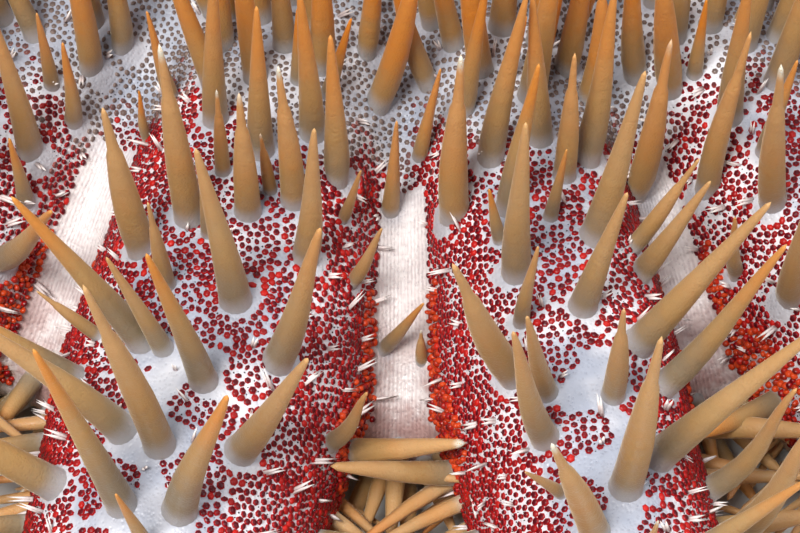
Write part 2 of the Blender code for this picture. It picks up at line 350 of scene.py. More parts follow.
@dataclass
class Placements:
    """Where the copies of one small form stand, each with its own size, bend and tone.

    A copy leaves the skin along the skin's normal and bends over to its axis.
    """

    root: np.ndarray
    axis: np.ndarray
    normal: np.ndarray
    length: np.ndarray
    radius: np.ndarray
    flat: np.ndarray
    bend: np.ndarray
    tone: np.ndarray
    zone: np.ndarray

    @classmethod
    def of(cls, rows: list[tuple]) -> "Placements":
        """Placements from rows of (root, axis, normal, length, radius, flat, bend, tone, zone).

        Args:
            rows: One tuple to a copy.

        Returns:
            The placements as arrays.
        """
        columns = [np.array(column, dtype=float) for column in zip(*rows)]
        return cls(*columns)

    def __len__(self) -> int:
        """How many copies there are."""
        return len(self.length)

    def part(self, chosen: np.ndarray) -> "Placements":
        """Some of the placements, by a mask or by indices."""
        return Placements(*(getattr(self, name)[chosen] for name in self.__dataclass_fields__))

    def basis(self) -> tuple[np.ndarray, np.ndarray, np.ndarray]:
        """Each copy's two sideways axes and its long axis, the first turned by its tone."""
        axis = unit(self.axis)
        helper = np.where(np.abs(axis[:, 2:3]) < 0.9, [[0.0, 0.0, 1.0]], [[1.0, 0.0, 0.0]])
        first = unit(np.cross(helper, axis))
        second = np.cross(axis, first)
        turn = (self.tone * TONE_TURN)[:, None]
        turned = first * np.cos(turn) + second * np.sin(turn)
        return turned, np.cross(axis, turned), axis


@dataclass
class Form:
    """A small closed form in its own units: across and over in radii, and 0 to 1 along."""

    points: np.ndarray
    faces: list[tuple[int, ...]]


def clear_selection() -> None:
    """Deselects everything, so that an operator acts on the next new primitive alone."""
    bpy.ops.object.select_all(action="DESELECT")


def turned_form(sides: int, profile: tuple[tuple[float, float], ...], closed: bool) -> Form:
    """A turned form, extruded ring by ring from a circle and gathered to a point.

    Args:
        sides: How many sides it has.
        profile: Each ring's height and radius, from the root up. The last radius is the point's.
        closed: Whether the root has an end face.

    Returns:
        The form as points and faces.
    """
    clear_selection()
    low, wide = profile[0]
    fill = "NGON" if closed else "NOTHING"
    bpy.ops.mesh.primitive_circle_add(
        vertices=sides, radius=wide, fill_type=fill, location=(0.0, 0.0, low)
    )
    maker = bpy.context.active_object
    bpy.ops.object.mode_set(mode="EDIT")
    bpy.ops.mesh.select_mode(type="EDGE")
    bpy.ops.mesh.select_all(action="SELECT")
    if closed:
        bpy.ops.mesh.flip_normals()
    last = wide
    height = low
    for level, radius in profile[1:]:
        bpy.ops.mesh.extrude_edges_move(TRANSFORM_OT_translate={"value": (0.0, 0.0, level - height)})
        size = radius / last
        bpy.ops.transform.resize(value=(size, size, 1.0))
        last, height = radius, level
    bpy.ops.mesh.merge(type="CENTER")
    bpy.ops.mesh.select_all(action="SELECT")
    bpy.ops.mesh.normals_make_consistent(inside=False)
    bpy.ops.object.mode_set(mode="OBJECT")
    form = Form(
        np.array([tuple(maker.matrix_world @ vert.co) for vert in maker.data.vertices]),
        [tuple(face.vertices) for face in maker.data.polygons],
    )
    bpy.data.objects.remove(maker)
    return form


def split_form(form: Form, spread: float, shift: float) -> Form:
    """Two copies of a form that part towards their tips, like the blades of tweezers.

    Args:
        form: The form to double.
        spread: How far each tip leans aside, in radii.
        shift: How far apart the roots stand, in radii.

    Returns:
        The doubled form.
    """
    points, faces = [], []
    for side in (-1.0, 1.0):
        blade = form.points.copy()
        blade[:, 0] += side * (shift + spread * np.maximum(blade[:, 2], 0.0) ** 1.5)
        faces += [tuple(index + len(form.points) * len(points) for index in face) for face in form.faces]
        points.append(blade)
    return Form(np.concatenate(points), faces)


def join_copies(
    name: str, form: Form, spots: Placements, patch: float, material: bpy.types.Material
) -> bpy.types.Object:
    """One mesh object of a form copied to every placement.

    Args:
        name: The object's name.
        form: The form to copy.
        spots: Where the copies stand.
        patch: How wide a copy's patch on the bake map is.
        material: The copies' material.

    Returns:
        The object, with reach, tone and zone attributes and its bake map.
    """
    across, over, axis = spots.basis()
    local = form.points
    along = local[:, 2]
    normal = unit(spots.normal)
    lift = normal - axis * along_rows(normal, axis)[:, None]
    rise = np.clip(along, 0.0, 1.0) * (1 - np.clip(along, 0.0, 1.0)) ** 2
    points = spots.root[:, None, :] + axis[:, None, :] * (spots.length[:, None] * along)[..., None]
    points = points + lift[:, None, :] * ((spots.length * spots.bend)[:, None] * rise)[..., None]
    foot = (1 - smooth(along, 0.0, FOOT_SHARE))[None, :, None]
    upright = smooth(along_rows(normal, axis), *FOOT_LEANS)
    for side, reach in ((across, spots.radius), (over, spots.radius * spots.flat)):
        laid = unit(side - normal * (along_rows(side, normal) * upright)[:, None])
        turned = side[:, None, :] * (1 - foot) + laid[:, None, :] * foot
        offset = local[:, 0] if side is across else local[:, 1]
        points += turned * (reach[:, None] * offset)[..., None]
    points[..., 2] = np.maximum(points[..., 2], LOWEST)
    count, size = len(spots), len(local)
    corner = np.concatenate([np.array(face) for face in form.faces])
    corners = (corner[None, :] + size * np.arange(count)[:, None]).ravel()
    sizes = np.array([len(face) for face in form.faces])
    starts = np.concatenate([[0], np.cumsum(np.tile(sizes, count))[:-1]])
    mesh = bpy.data.meshes.new(name)
    mesh.vertices.add(count * size)
    mesh.vertices.foreach_set("co", points.astype(np.float32).ravel())
    mesh.loops.add(len(corners))
    mesh.loops.foreach_set("vertex_index", corners.astype(np.int32))
    mesh.polygons.add(len(starts))
    mesh.polygons.foreach_set("loop_start", starts.astype(np.int32))
    mesh.update(calc_edges=True)
    mesh.validate()
    set_values(mesh, "reach", np.tile(along, count))
    set_values(mesh, "tone", np.repeat(spots.tone, size))
    set_values(mesh, "zone", np.repeat(spots.zone, size))
    middle = 0.5 + spots.root[:, None, :2] / BAKE_SPAN
    spread = max(float(np.abs(local[:, 0]).max()), 1e-6)
    shift = np.stack([local[:, 0] / spread / 2, along - 0.5], axis=1) * patch
    places = (middle + shift[None, :, :]).reshape(-1, 2)
    layer = mesh.uv_layers.new(name="OFBake")
    layer.uv.foreach_set("vector", places[corners].astype(np.float32).ravel())
    mesh.shade_smooth()
    mesh.materials.append(material)
    obj = bpy.data.objects.new(name, mesh)
    bpy.context.scene.collection.objects.link(obj)
    return obj


def set_values(mesh: bpy.types.Mesh, name: str, values: np.ndarray) -> None:
    """Gives a mesh one number for each vertex.

    Args:
        mesh: The mesh.
        name: The attribute's name.
        values: One number to a vertex.
    """
    layer = mesh.attributes.new(name, "FLOAT", "POINT")
    layer.data.foreach_set("value", np.asarray(values, dtype=np.float32))


def vertex_points(mesh: bpy.types.Mesh) -> np.ndarray:
    """A mesh's vertices, one to a row."""
    found = np.empty(len(mesh.vertices) * 3, dtype=np.float32)
    mesh.vertices.foreach_get("co", found)
    return found.reshape(-1, 3).astype(float)


def vertex_normals(mesh: bpy.types.Mesh) -> np.ndarray:
    """The normals at a mesh's vertices, one to a row."""
    found = np.empty(len(mesh.vertices) * 3, dtype=np.float32)
    mesh.vertices.foreach_get("normal", found)
    return found.reshape(-1, 3)


class NodeBench:
    """Puts nodes into a material's or a group's tree, and joins them."""

    def __init__(self, tree: bpy.types.NodeTree) -> None:
        """Takes the tree to work on.

        Args:
            tree: A material's or a group's node tree.
        """
        self.tree = tree

    def add(self, kind: str, **settings) -> bpy.types.Node:
        """A new node with some of its settings made.

        Args:
            kind: The node's type name.
            **settings: Its properties by name.

        Returns:
            The node.
        """
        node = self.tree.nodes.new(kind)
        for name, value in settings.items():
            setattr(node, name, value)
        return node

    def feed(self, socket: bpy.types.NodeSocket, value) -> None:
        """Joins a node's output to a socket, or sets the socket to a number or colour."""
        if isinstance(value, bpy.types.NodeSocket):
            self.tree.links.new(value, socket)
        elif isinstance(value, tuple) and len(value) == 3 and socket.type == "RGBA":
            socket.default_value = (*value, 1.0)
        else:
            socket.default_value = value

    def math(self, operation: str, first, second=0.0) -> bpy.types.NodeSocket:
        """The outcome of a sum on two values."""
        node = self.add("ShaderNodeMath", operation=operation)
        self.feed(node.inputs[0], first)
        self.feed(node.inputs[1], second)
        return node.outputs[0]

    def times(self, first, second) -> bpy.types.NodeSocket:
        """The product of two values."""
        return self.math("MULTIPLY", first, second)

    def plus(self, first, second) -> bpy.types.NodeSocket:
        """The sum of two values."""
        return self.math("ADD", first, second)

    def span(self, value, low: float, high: float, start: float = 0.0, end: float = 1.0):
        """A value moved from one range to another, smoothly, and kept inside it."""
        node = self.add("ShaderNodeMapRange", interpolation_type="SMOOTHSTEP")
        for name, given in (
            ("Value", value), ("From Min", low), ("From Max", high), ("To Min", start), ("To Max", end)
        ):
            self.feed(node.inputs[name], given)
        return node.outputs["Result"]

    def mix(self, share, first, second, way: str = "MIX") -> bpy.types.NodeSocket:
        """A colour between two colours, or the first blended with the second another way."""
        node = self.add("ShaderNodeMix", data_type="RGBA", blend_type=way)
        self.feed(node.inputs["Factor"], share)
        self.feed(node.inputs[6], first)
        self.feed(node.inputs[7], second)
        return node.outputs[2]

    def shade(self, share, colour, dark: Colour) -> bpy.types.NodeSocket:
        """A colour multiplied by another, by a share."""
        return self.mix(share, colour, dark, "MULTIPLY")

    def attribute(self, name: str) -> bpy.types.NodeSocket:
        """A number that the mesh holds for each vertex."""
        return self.add("ShaderNodeAttribute", attribute_name=name).outputs["Fac"]

    def place(self) -> bpy.types.NodeSocket:
        """The place on the object, which is the place in the frame."""
        return self.add("ShaderNodeTexCoord").outputs["Object"]

    def noise(self, place, scale: float, detail: float = 2.0, rough: float = 0.5):
        """A soft random value that changes over the surface."""
        node = self.add("ShaderNodeTexNoise")
        self.feed(node.inputs["Vector"], place)
        self.feed(node.inputs["Scale"], scale)
        self.feed(node.inputs["Detail"], detail)
        self.feed(node.inputs["Roughness"], rough)
        return node.outputs["Fac"]

    def cells(self, place, scale: float, feature: str = "F1") -> bpy.types.NodeSocket:
        """The distance to the nearest of many random points, or to the line between two."""
        node = self.add("ShaderNodeTexVoronoi", feature=feature)
        self.feed(node.inputs["Vector"], place)
        self.feed(node.inputs["Scale"], scale)
        return node.outputs["Distance"]

    def bump(self, height, distance: float, strength: float = 1.0, under=None):
        """A normal raised by a height, over another normal if one is given."""
        node = self.add("ShaderNodeBump")
        self.feed(node.inputs["Height"], height)
        self.feed(node.inputs["Distance"], distance)
        self.feed(node.inputs["Strength"], strength)
        if under is not None:
            self.feed(node.inputs["Normal"], under)
        return node.outputs["Normal"]

    def finish(self, shader: bpy.types.Node, colour, rough, normal, gloss: float) -> None:
        """Feeds the shader that ends a material.

        Args:
            shader: The Principled shader.
            colour: Its colour.
            rough: Its roughness.
            normal: Its normal.
            gloss: Its specular level.
        """
        for name, value in (("Base Color", colour), ("Roughness", rough), ("Normal", normal)):
            self.feed(shader.inputs[name], value)
        shader.inputs["Specular IOR Level"].default_value = gloss

    def use(self, group: bpy.types.NodeTree, **values) -> bpy.types.Node:
        """A node group's node, with its inputs fed by name."""
        node = self.add("ShaderNodeGroup", node_tree=group)
        for name, value in values.items():
            self.feed(node.inputs[name.replace("_", " ").capitalize()], value)
        return node


def new_group(name: str, inputs: tuple[tuple[str, str, float], ...], outputs: tuple[str, ...]):
    """An empty shader node group with its sockets.

    Args:
        name: The group's name.
        inputs: Each input's name, socket type and default number.
        outputs: The names of its value outputs.

    Returns:
        The bench on the group's tree, its input node and its output node.
    """
    tree = bpy.data.node_groups.new(name, "ShaderNodeTree")
    for label, kind, default in inputs:
        socket = tree.interface.new_socket(label, in_out="INPUT", socket_type=kind)
        if kind == "NodeSocketFloat":
            socket.default_value = default
    for label in outputs:
        tree.interface.new_socket(label, in_out="OUTPUT", socket_type="NodeSocketFloat")
    bench = NodeBench(tree)
    return bench, bench.add("NodeGroupInput"), bench.add("NodeGroupOutput")


def grain_group() -> bpy.types.NodeTree:
    """Fine wet grain: a soft mottle and small grains, as values from 0 to 1."""
    bench, given, put = new_group(
        "wet_grain",
        (("Place", "NodeSocketVector", 0.0), ("Fineness", "NodeSocketFloat", 1.0)),
        ("Mottle", "Grain"),
    )
    scaled = bench.add("ShaderNodeVectorMath", operation="SCALE")
    bench.feed(scaled.inputs[0], given.outputs["Place"])
    bench.feed(scaled.inputs["Scale"], given.outputs["Fineness"])
    mottle = bench.noise(scaled.outputs[0], 260.0, 3.0, 0.6)
    grain = bench.cells(scaled.outputs[0], 2600.0)
    bench.feed(put.inputs["Mottle"], mottle)
    bench.feed(put.inputs["Grain"], bench.span(grain, 0.0, 0.7))
    return bench.tree


def ray_group() -> bpy.types.NodeTree:
    """Fine wrinkles that run out from the middle, crossed by fainter rings."""
    bench, given, put = new_group(
        "radial_wrinkles",
        (("Place", "NodeSocketVector", 0.0), ("Rays", "NodeSocketFloat", 900.0)),
        ("Wrinkles", "Rings"),
    )
    split = bench.add("ShaderNodeSeparateXYZ")
    bench.feed(split.inputs[0], given.outputs["Place"])
    x, y = split.outputs["X"], split.outputs["Y"]
    turn = bench.math("ARCTAN2", y, x)
    radius = bench.math("SQRT", bench.plus(bench.times(x, x), bench.times(y, y)))
    sway = bench.times(bench.noise(given.outputs["Place"], 160.0, 2.0), 4.0)
    rays = bench.math("SINE", bench.plus(bench.times(turn, given.outputs["Rays"]), sway))
    rings = bench.math("SINE", bench.plus(bench.times(radius, 9000.0), sway))
    bench.feed(put.inputs["Wrinkles"], bench.span(rays, -1.0, 1.0))
    bench.feed(put.inputs["Rings"], bench.span(rings, -1.0, 1.0))
    return bench.tree


def new_material(name: str) -> tuple[bpy.types.Material, NodeBench, bpy.types.Node]:
    """A material with a bench on its tree and its Principled shader."""
    material = bpy.data.materials.new(name)
    material.use_nodes = True
    return material, NodeBench(material.node_tree), material.node_tree.nodes["Principled BSDF"]


@dataclass(frozen=True)
class SkinFinish:
    """The wet skin: lavender grey on the back, white among the papulae, pale with pink in the valleys."""

    bare: Colour = (0.34, 0.37, 0.45)
    net: Colour = (0.74, 0.74, 0.78)
    teal: Colour = (0.09, 0.15, 0.14)
    web: Colour = (0.76, 0.71, 0.70)
    pink: Colour = (0.42, 0.25, 0.23)
    # Painted shade: the darker bluish grey that the skin takes round each spine's root, where the spine
    # shades it
    foot: Colour = (0.36, 0.36, 0.40)
    under: Colour = (0.62, 0.42, 0.28)
    mouth: Colour = (0.20, 0.08, 0.06)
    speck: Colour = (0.40, 0.42, 0.50)
    crease: Colour = (0.50, 0.42, 0.46)
    ring: Colour = (0.70, 0.60, 0.60)
    roughness: float = 0.42
    gloss: float = 0.45

    def make(self, grain: bpy.types.NodeTree, rays: bpy.types.NodeTree) -> bpy.types.Material:
        """The skin's material.

        Args:
            grain: The wet grain group.
            rays: The radial wrinkle group.

        Returns:
            The material.
        """
        material, bench, shader = new_material("starfish_skin")
        place = bench.place()
        wet = bench.use(grain, place=place, fineness=1.0)
        lines = bench.use(rays, place=place, rays=1300.0)
        mottle, grains = wet.outputs["Mottle"], wet.outputs["Grain"]
        wrinkles, rings = lines.outputs["Wrinkles"], lines.outputs["Rings"]
        web, under, middle = (bench.attribute(name) for name in ("web", "under", "middle"))
        blotch = bench.noise(place, 110.0, 3.0)
        skin = bench.mix(bench.span(blotch, 0.42, 0.68), self.bare, self.net)
        skin = bench.mix(bench.attribute("papular"), skin, self.net)
        deep = bench.times(middle, bench.span(blotch, 0.62, 0.38, 0.35, 1.0))
        skin = bench.mix(deep, skin, self.teal)
        pinkness = bench.times(bench.attribute("low"), bench.span(mottle, 0.32, 0.60))
        valley = bench.mix(pinkness, self.web, self.pink)
        broken = bench.times(wrinkles, bench.span(bench.noise(place, 900.0, 1.0), 0.38, 0.60))
        valley = bench.shade(bench.times(broken, 0.32), valley, self.crease)
        valley = bench.shade(bench.times(rings, 0.14), valley, self.ring)
        skin = bench.mix(web, skin, valley)
        # Painted shade round each spine's root: the foot mask draws the skin towards the foot's darker bluish
        # grey
        skin = bench.mix(bench.span(bench.attribute("foot"), 0.20, 0.90, 0.0, 0.7), skin, self.foot)
        belly = bench.mix(bench.attribute("mouth"), self.under, self.mouth)
        skin = bench.mix(under, skin, belly)
        skin = bench.shade(bench.span(grains, 0.30, 0.05, 0.0, 0.35), skin, self.speck)
        rough = bench.span(mottle, 0.3, 0.7, self.roughness - 0.08, self.roughness + 0.12)
        creases = bench.times(bench.plus(wrinkles, bench.times(rings, 0.6)), web)
        relief = bench.bump(creases, 0.00006, 0.5)
        relief = bench.bump(mottle, 0.00035, 0.6, relief)
        relief = bench.bump(grains, 0.00007, 0.7, relief)
        bench.finish(shader, skin, rough, relief, self.gloss)
        return material


@dataclass(frozen=True)
class SpineFinish:
    """A satin sheath, pale at the foot, grey-beige above it and orange at the tip."""

    name: str
    # Painted shade: the default foot is the bluish grey that the skin is painted round each spine's root,
    # carried onto the spine's lowest part
    foot: Colour = (0.38, 0.36, 0.36)
    root: Colour = (0.27, 0.205, 0.125)
    shaft: Colour = (0.42, 0.24, 0.085)
    upper: Colour = (0.64, 0.20, 0.006)
    tip: Colour = (0.72, 0.21, 0.005)
    pale: Colour = (0.47, 0.31, 0.15)
    crust: Colour = (0.62, 0.58, 0.48)
    grain_shade: Colour = (0.6, 0.5, 0.4)
    orange_sooner: float = 0.26
    bands: float = 130.0
    band_sway: float = 30.0
    roughness: float = 0.42
    gloss: float = 0.30

    def make(self, grain: bpy.types.NodeTree) -> bpy.types.Material:
        """The sheath's material.

        Args:
            grain: The wet grain group.

        Returns:
            The material.
        """
        material, bench, shader = new_material(self.name)
        wet = bench.use(grain, place=bench.place(), fineness=1.6)
        mottle, grains = wet.outputs["Mottle"], wet.outputs["Grain"]
        reach, tone, zone = (bench.attribute(name) for name in ("reach", "tone", "zone"))
        moved = reach
        moves = ((mottle, 0.5, 0.22), (tone, 0.5, 0.24), (zone, 1.0, -self.orange_sooner))
        for value, middle, weight in moves:
            moved = bench.plus(moved, bench.times(bench.math("SUBTRACT", value, middle), weight))
        colour = bench.mix(bench.span(moved, 0.10, 0.46), self.root, self.shaft)
        colour = bench.mix(bench.span(moved, 0.40, 0.80), colour, self.upper)
        colour = bench.mix(bench.span(moved, 0.80, 1.10), colour, self.tip)
        faded = bench.times(zone, bench.span(tone, 0.0, 0.5, 0.25, 0.80))
        faded = bench.times(faded, bench.span(reach, 0.25, 0.60))
        colour = bench.mix(faded, colour, self.pale)
        worn = bench.times(bench.span(reach, 0.90, 0.97), bench.span(grains, 0.05, 0.45))
        colour = bench.mix(bench.times(worn, bench.span(tone, 0.86, 0.90)), colour, self.crust)
        # The lowest part takes the foot colour; the default one is the bluish grey of the skin's painted
        # shade round each spine's root
        colour = bench.mix(bench.span(reach, 0.17, 0.07), colour, self.foot)
        colour = bench.shade(bench.span(grains, 0.30, 0.0, 0.0, 0.15), colour, self.grain_shade)
        shader.inputs["Subsurface Weight"].default_value = 0.15
        shader.inputs["Subsurface Radius"].default_value = (0.0018, 0.0010, 0.0005)
        shader.inputs["Subsurface Scale"].default_value = 1.0
        shader.inputs["Sheen Weight"].default_value = 0.30
        shader.inputs["Sheen Roughness"].default_value = 0.22
        shader.inputs["Sheen Tint"].default_value = (1.0, 0.88, 0.66, 1.0)
        rough = bench.span(mottle, 0.3, 0.7, self.roughness - 0.06, self.roughness + 0.10)
        relief = bench.bump(mottle, 0.00022, 0.6)
        swayed = bench.plus(bench.times(reach, self.bands), bench.times(mottle, self.band_sway))
        relief = bench.bump(bench.span(bench.math("SINE", swayed), -0.5, 1.0), 0.000007, 0.5, relief)
        bench.finish(shader, colour, rough, bench.bump(grains, 0.00004, 0.6, relief), self.gloss)
        return material


@dataclass(frozen=True)
class PapulaFinish:
    """Wet papulae: maroon with bright edges on the arms, grey-brown in the middle of the disc."""

    name: str = "papulae"
    dark: Colour = (0.085, 0.003, 0.008)
    bright: Colour = (0.52, 0.012, 0.008)
    edge: Colour = (0.38, 0.006, 0.008)
    orange: Colour = (0.66, 0.065, 0.012)
    grey: Colour = (0.14, 0.100, 0.090)
    grey_edge: Colour = (0.26, 0.19, 0.16)
    dot: Colour = (0.014, 0.006, 0.012)
    mottle_shade: Colour = (0.6, 0.6, 0.6)
    roughness: float = 0.32
    gloss: float = 0.25

    def make(self, grain: bpy.types.NodeTree) -> bpy.types.Material:
        """The papulae's material.

        Args:
            grain: The wet grain group.

        Returns:
            The material.
        """
        material, bench, shader = new_material(self.name)
        wet = bench.use(grain, place=bench.place(), fineness=2.0)
        reach, tone, zone = (bench.attribute(name) for name in ("reach", "tone", "zone"))
        crown = bench.span(reach, 0.50, 0.95)
        heart = bench.mix(bench.span(tone, 0.25, 0.75), self.dark, self.bright)
        red = bench.mix(crown, bench.mix(bench.span(tone, 0.25, 0.75), self.edge, self.bright), heart)
        red = bench.mix(bench.span(zone, 1.0, 2.0), red, self.orange)
        grey = bench.mix(crown, self.grey_edge, self.grey)
        colour = bench.mix(bench.span(zone, 0.0, 1.0), grey, red)
        colour = bench.mix(bench.span(zone, -0.3, -0.9), colour, self.dot)
        colour = bench.shade(bench.times(wet.outputs["Mottle"], 0.3), colour, self.mottle_shade)
        rough = bench.span(tone, 0.0, 1.0, self.roughness - 0.05, self.roughness + 0.12)
        bench.finish(shader, colour, rough, bench.bump(wet.outputs["Grain"], 0.00003, 0.5), self.gloss)
        return material


@dataclass(frozen=True)
class FleshFinish:
    """Soft plain flesh with a paler tip, for bristles and tube feet."""

    name: str
    root: Colour
    tip: Colour
    mottle_shade: Colour = (0.7, 0.62, 0.6)
    roughness: float = 0.40
    gloss: float = 0.45

    def make(self, grain: bpy.types.NodeTree) -> bpy.types.Material:
        """The flesh's material.

        Args:
            grain: The wet grain group.

        Returns:
            The material.
        """
        material, bench, shader = new_material(self.name)
        wet = bench.use(grain, place=bench.place(), fineness=1.5)
        colour = bench.mix(bench.span(bench.attribute("reach"), 0.1, 0.9), self.root, self.tip)
        colour = bench.shade(bench.times(wet.outputs["Mottle"], 0.35), colour, self.mottle_shade)
        rough = bench.span(bench.attribute("tone"), 0.0, 1.0, self.roughness, self.roughness + 0.15)
        bench.finish(shader, colour, rough, bench.bump(wet.outputs["Grain"], 0.00004, 0.5), self.gloss)
        return material


@dataclass
class Spine:
    """One planned spine."""

    root: np.ndarray
    axis: np.ndarray
    normal: np.ndarray
    length: float
    radius: float
    zone: float
    tone: float
    bend: float = 0.4

    def row(self, surface: "Surface", sink: float) -> tuple:
        """The spine as a placement row, its root sunk in the skin by a share of its length."""
        foot, _ = surface.settle(self.root)
        depth = self.length * sink
        start = foot - self.normal * depth
        reach = self.length + depth
        return (start, self.axis, self.normal, reach, self.radius, 1.0, self.bend, self.tone, self.zone)


@dataclass(frozen=True)
class Filling:
    """A round of spines that fills the room between the others.

    The spacing is between roots, the lengths are shares of a grand spine's length, and thick is
    their thickness as a share of a grand spine's.
    """

    tries: int
    spacing: float
    lengths: Span
    thick: float


@dataclass
class SpineField:
    """All the spines of the back, planned one after another.

    Each is kept only where its centre line stays clear of the others. The listed front ones may
    come nearer to one another than the rest, as in the photo, down to near_clearance.
    """

    form: StarfishForm
    seed: int = 7
    line_points: int = 8
    neighbour_reach: float = 0.05
    radius: float = 0.00142
    length: float = 0.026
    fillings: tuple[Filling, ...] = (
        Filling(20000, 0.0062, (0.80, 1.05), 0.95),
        Filling(7000, 0.0046, (0.30, 0.60), 0.90),
    )
    crowding: float = 0.62
    crowded_within: float = 0.066
    filling_shares: Span = (0.001, 0.98)
    filling_gap: float = 0.0023
    filling_lean_spread: float = 0.09
    edge_share: float = 0.93
    edge_from: float = 0.060
    small_thickness: float = 0.85
    middle_thickness: float = 0.82
    arm_zone: Span = (0.045, 0.085)
    arm_bend: float = 0.45
    arm_bend_from: float = 0.086
    arm_bend_full: float = 0.104
    thickness_spread: Span = (0.92, 1.10)
    bend_spread: Span = (0.05, 0.30)
    lean_out_disc: float = math.radians(10.0)
    lean_out_arm: float = math.radians(16.0)
    lean_side_disc: float = math.radians(10.0)
    lean_side_arm: float = math.radians(60.0)
    lean_out_tip: float = math.radians(34.0)
    lean_tip_start: float = 0.70
    lean_start: float = 0.070
    lean_full: float = 0.098
    lean_step: float = 0.88
    lean_trials: int = 12
    cut_clearance: float = 0.0024
    clearance: float = 0.0038
    near_clearance: float = 0.0012
    tip_share: float = 0.62
    tip_thinning: float = 0.2
    front_lists_from: float = 0.064
    front_rows_from: float = 0.118
    middle_rings: tuple = ((0.010, 4), (0.024, 9), (0.037, 14))
    middle_twist: float = 60.0
    rows: tuple = (
        (0.050, (0.0,)),
        (0.060, (-0.55, 0.55)),
        (0.070, (0.0,)),
        (0.080, (-0.60, 0.0, 0.60)),
        (0.090, (-0.30, 0.30)),
        (0.101, (-0.66, 0.0, 0.66)),
        (0.113, (-0.96, -0.36, 0.36, 0.96)),
        (0.125, (-0.72, 0.0, 0.72)),
        (0.137, (-0.92, 0.0, 0.92)),
        (0.1465, (-0.60, 0.60)),
    )
    # Millimetres out along the arm and across it, length in millimetres, sideways lean in degrees
    front_left: tuple = (
        (58, -6, 25, 4), (59, 5, 25, 3), (67.5, -4, 24, 5), (67, 6, 22, 1), (70.5, 1.5, 22, 4),
        (70, 9.5, 22, 2), (75, 6, 21, 1), (77.5, 2, 19, 3), (79, -3.5, 27, 1), (80, 8.5, 22, 7),
        (82.5, -7.5, 23, -1), (85, 3.5, 26, -1), (91, 8.5, 28, 14), (92.5, -4, 26, -17), (95, -10, 16, -45),
        (93, 13.5, 14, 58), (95.5, 2.5, 24, -4), (101, 7, 25, 21), (101.5, -3.5, 24, -27), (102.5, 0, 31, -3),
        (106, -9, 24, -40), (108, 3, 29, 16), (108.5, -2, 31, -4), (114, 9, 22, 45), (115, -8, 22, -40),
    )
    front_right: tuple = (
        (55, 0, 25, 0), (60, 6, 24, 2), (63.5, -6, 20, 3), (69, 1, 22, -6), (70, -4.5, 24, 4),
        (71, 5.5, 25, 1), (69.5, 11, 24, 2), (73, -9, 25, -2), (73.5, 2.5, 19, -2), (76, -4, 22, 3),
        (80.5, 4, 26, 4), (83, 8, 16, 17), (83.5, -4.5, 25, -3), (88, 1, 20, 5), (91.5, 5.5, 26, 24),
        (92.5, -6.5, 25, -18), (95.5, -4, 17, -12), (95, 7.5, 27, 20), (97, 2, 18, -4), (99.5, -5, 24, -13),
        (103, 4.5, 27, 23), (106, 1, 31, -2), (107, 10, 27, 11), (109.5, -2.5, 23, -16), (112, 5.5, 18, 27),
        (114, -10, 22, -45),
    )
    # The front arms' short secondary spines, written the same way
    small_left: tuple = (
        (66.5, -11.5, 8, 0), (73.5, -1.5, 13, 3), (74.5, 3.5, 9, -1), (73.5, 10.5, 9, 15), (78, 12.5, 11, 19),
        (80.5, -1, 12, 3), (68, 13.5, 15, 5), (86.5, -3.5, 15, 1), (93, -2, 17, -9), (78.5, 15, 11, 24),
        (91, -9, 9, -30), (98, 8, 9, 20), (112, 1, 12, -4),
    )
    small_right: tuple = (
        (70.5, -7.5, 9, 0), (78, 0, 11, 3), (79, -5, 9, -11), (80, 8, 15, 18), (88, -5, 14, 1),
        (80, -12.2, 6, -4), (105, -4.5, 8, -31), (64, -10, 14, 6), (86, 10, 9, 30), (101, 10.5, 22, 30),
        (113, 1, 10, 0),
    )
    spines: list = field(default_factory=list)

    def __post_init__(self) -> None:
        """Starts the field's own chance and the record of what stands where."""
        self.chance = random.Random(self.seed)
        self.lines = np.zeros((0, self.line_points, 3))

    def direction(self, sector: int, along: float, across: float, length: float, lean: float) -> np.ndarray:
        """Which way a spine points, for its sideways lean, kept over its own arm's sector.

        Args:
            sector: Index of its sector.
            along: Distance out along the arm.
            across: Distance across it.
            length: The spine's length.
            lean: Its sideways lean, in radians.

        Returns:
            A unit vector.
        """
        form = self.form
        rise = float(smooth(along, self.lean_start, self.lean_full))
        outward = self.lean_out_disc + (self.lean_out_arm - self.lean_out_disc) * rise
        outward += self.lean_out_tip * float(smooth(form.share(sector, along), self.lean_tip_start, 1.0))
        out, aside = form.out(sector), form.aside(sector)
        root = form.surface_point(sector, np.array(along), np.array(across))
        for _ in range(self.lean_trials):
            direction = (
                out * math.sin(outward)
                + aside * math.cos(outward) * math.sin(lean)
                + UP * math.cos(outward) * math.cos(lean)
            )
            tip = root + direction * length
            room = float(tip @ out) * math.tan(form.half[sector]) - 2 * self.radius
            if along < form.rim[sector] or abs(float(tip @ aside)) < room:
                break
            lean *= self.lean_step
        return direction

    def stand(self, spine: Spine, gap: float) -> bool:
        """Keeps a spine if it stands clear of the others by a gap between centre lines.

        Args:
            spine: The planned spine.
            gap: The least distance to any other spine's centre line.

        Returns:
            Whether it was kept.
        """
        steps = np.linspace(0.0, 1.0, self.line_points)[:, None]
        line = spine.root + spine.axis * spine.length * steps
        if len(self.lines):
            near = np.linalg.norm(self.lines[:, 0] - spine.root, axis=1) < self.neighbour_reach
            apart = np.linalg.norm(self.lines[near][:, :, None, :] - line[None, None, :, :], axis=3)
            if apart.size and apart.min() < gap:
                return False
        self.lines = np.concatenate([self.lines, line[None]])
        self.spines.append(spine)
        return True

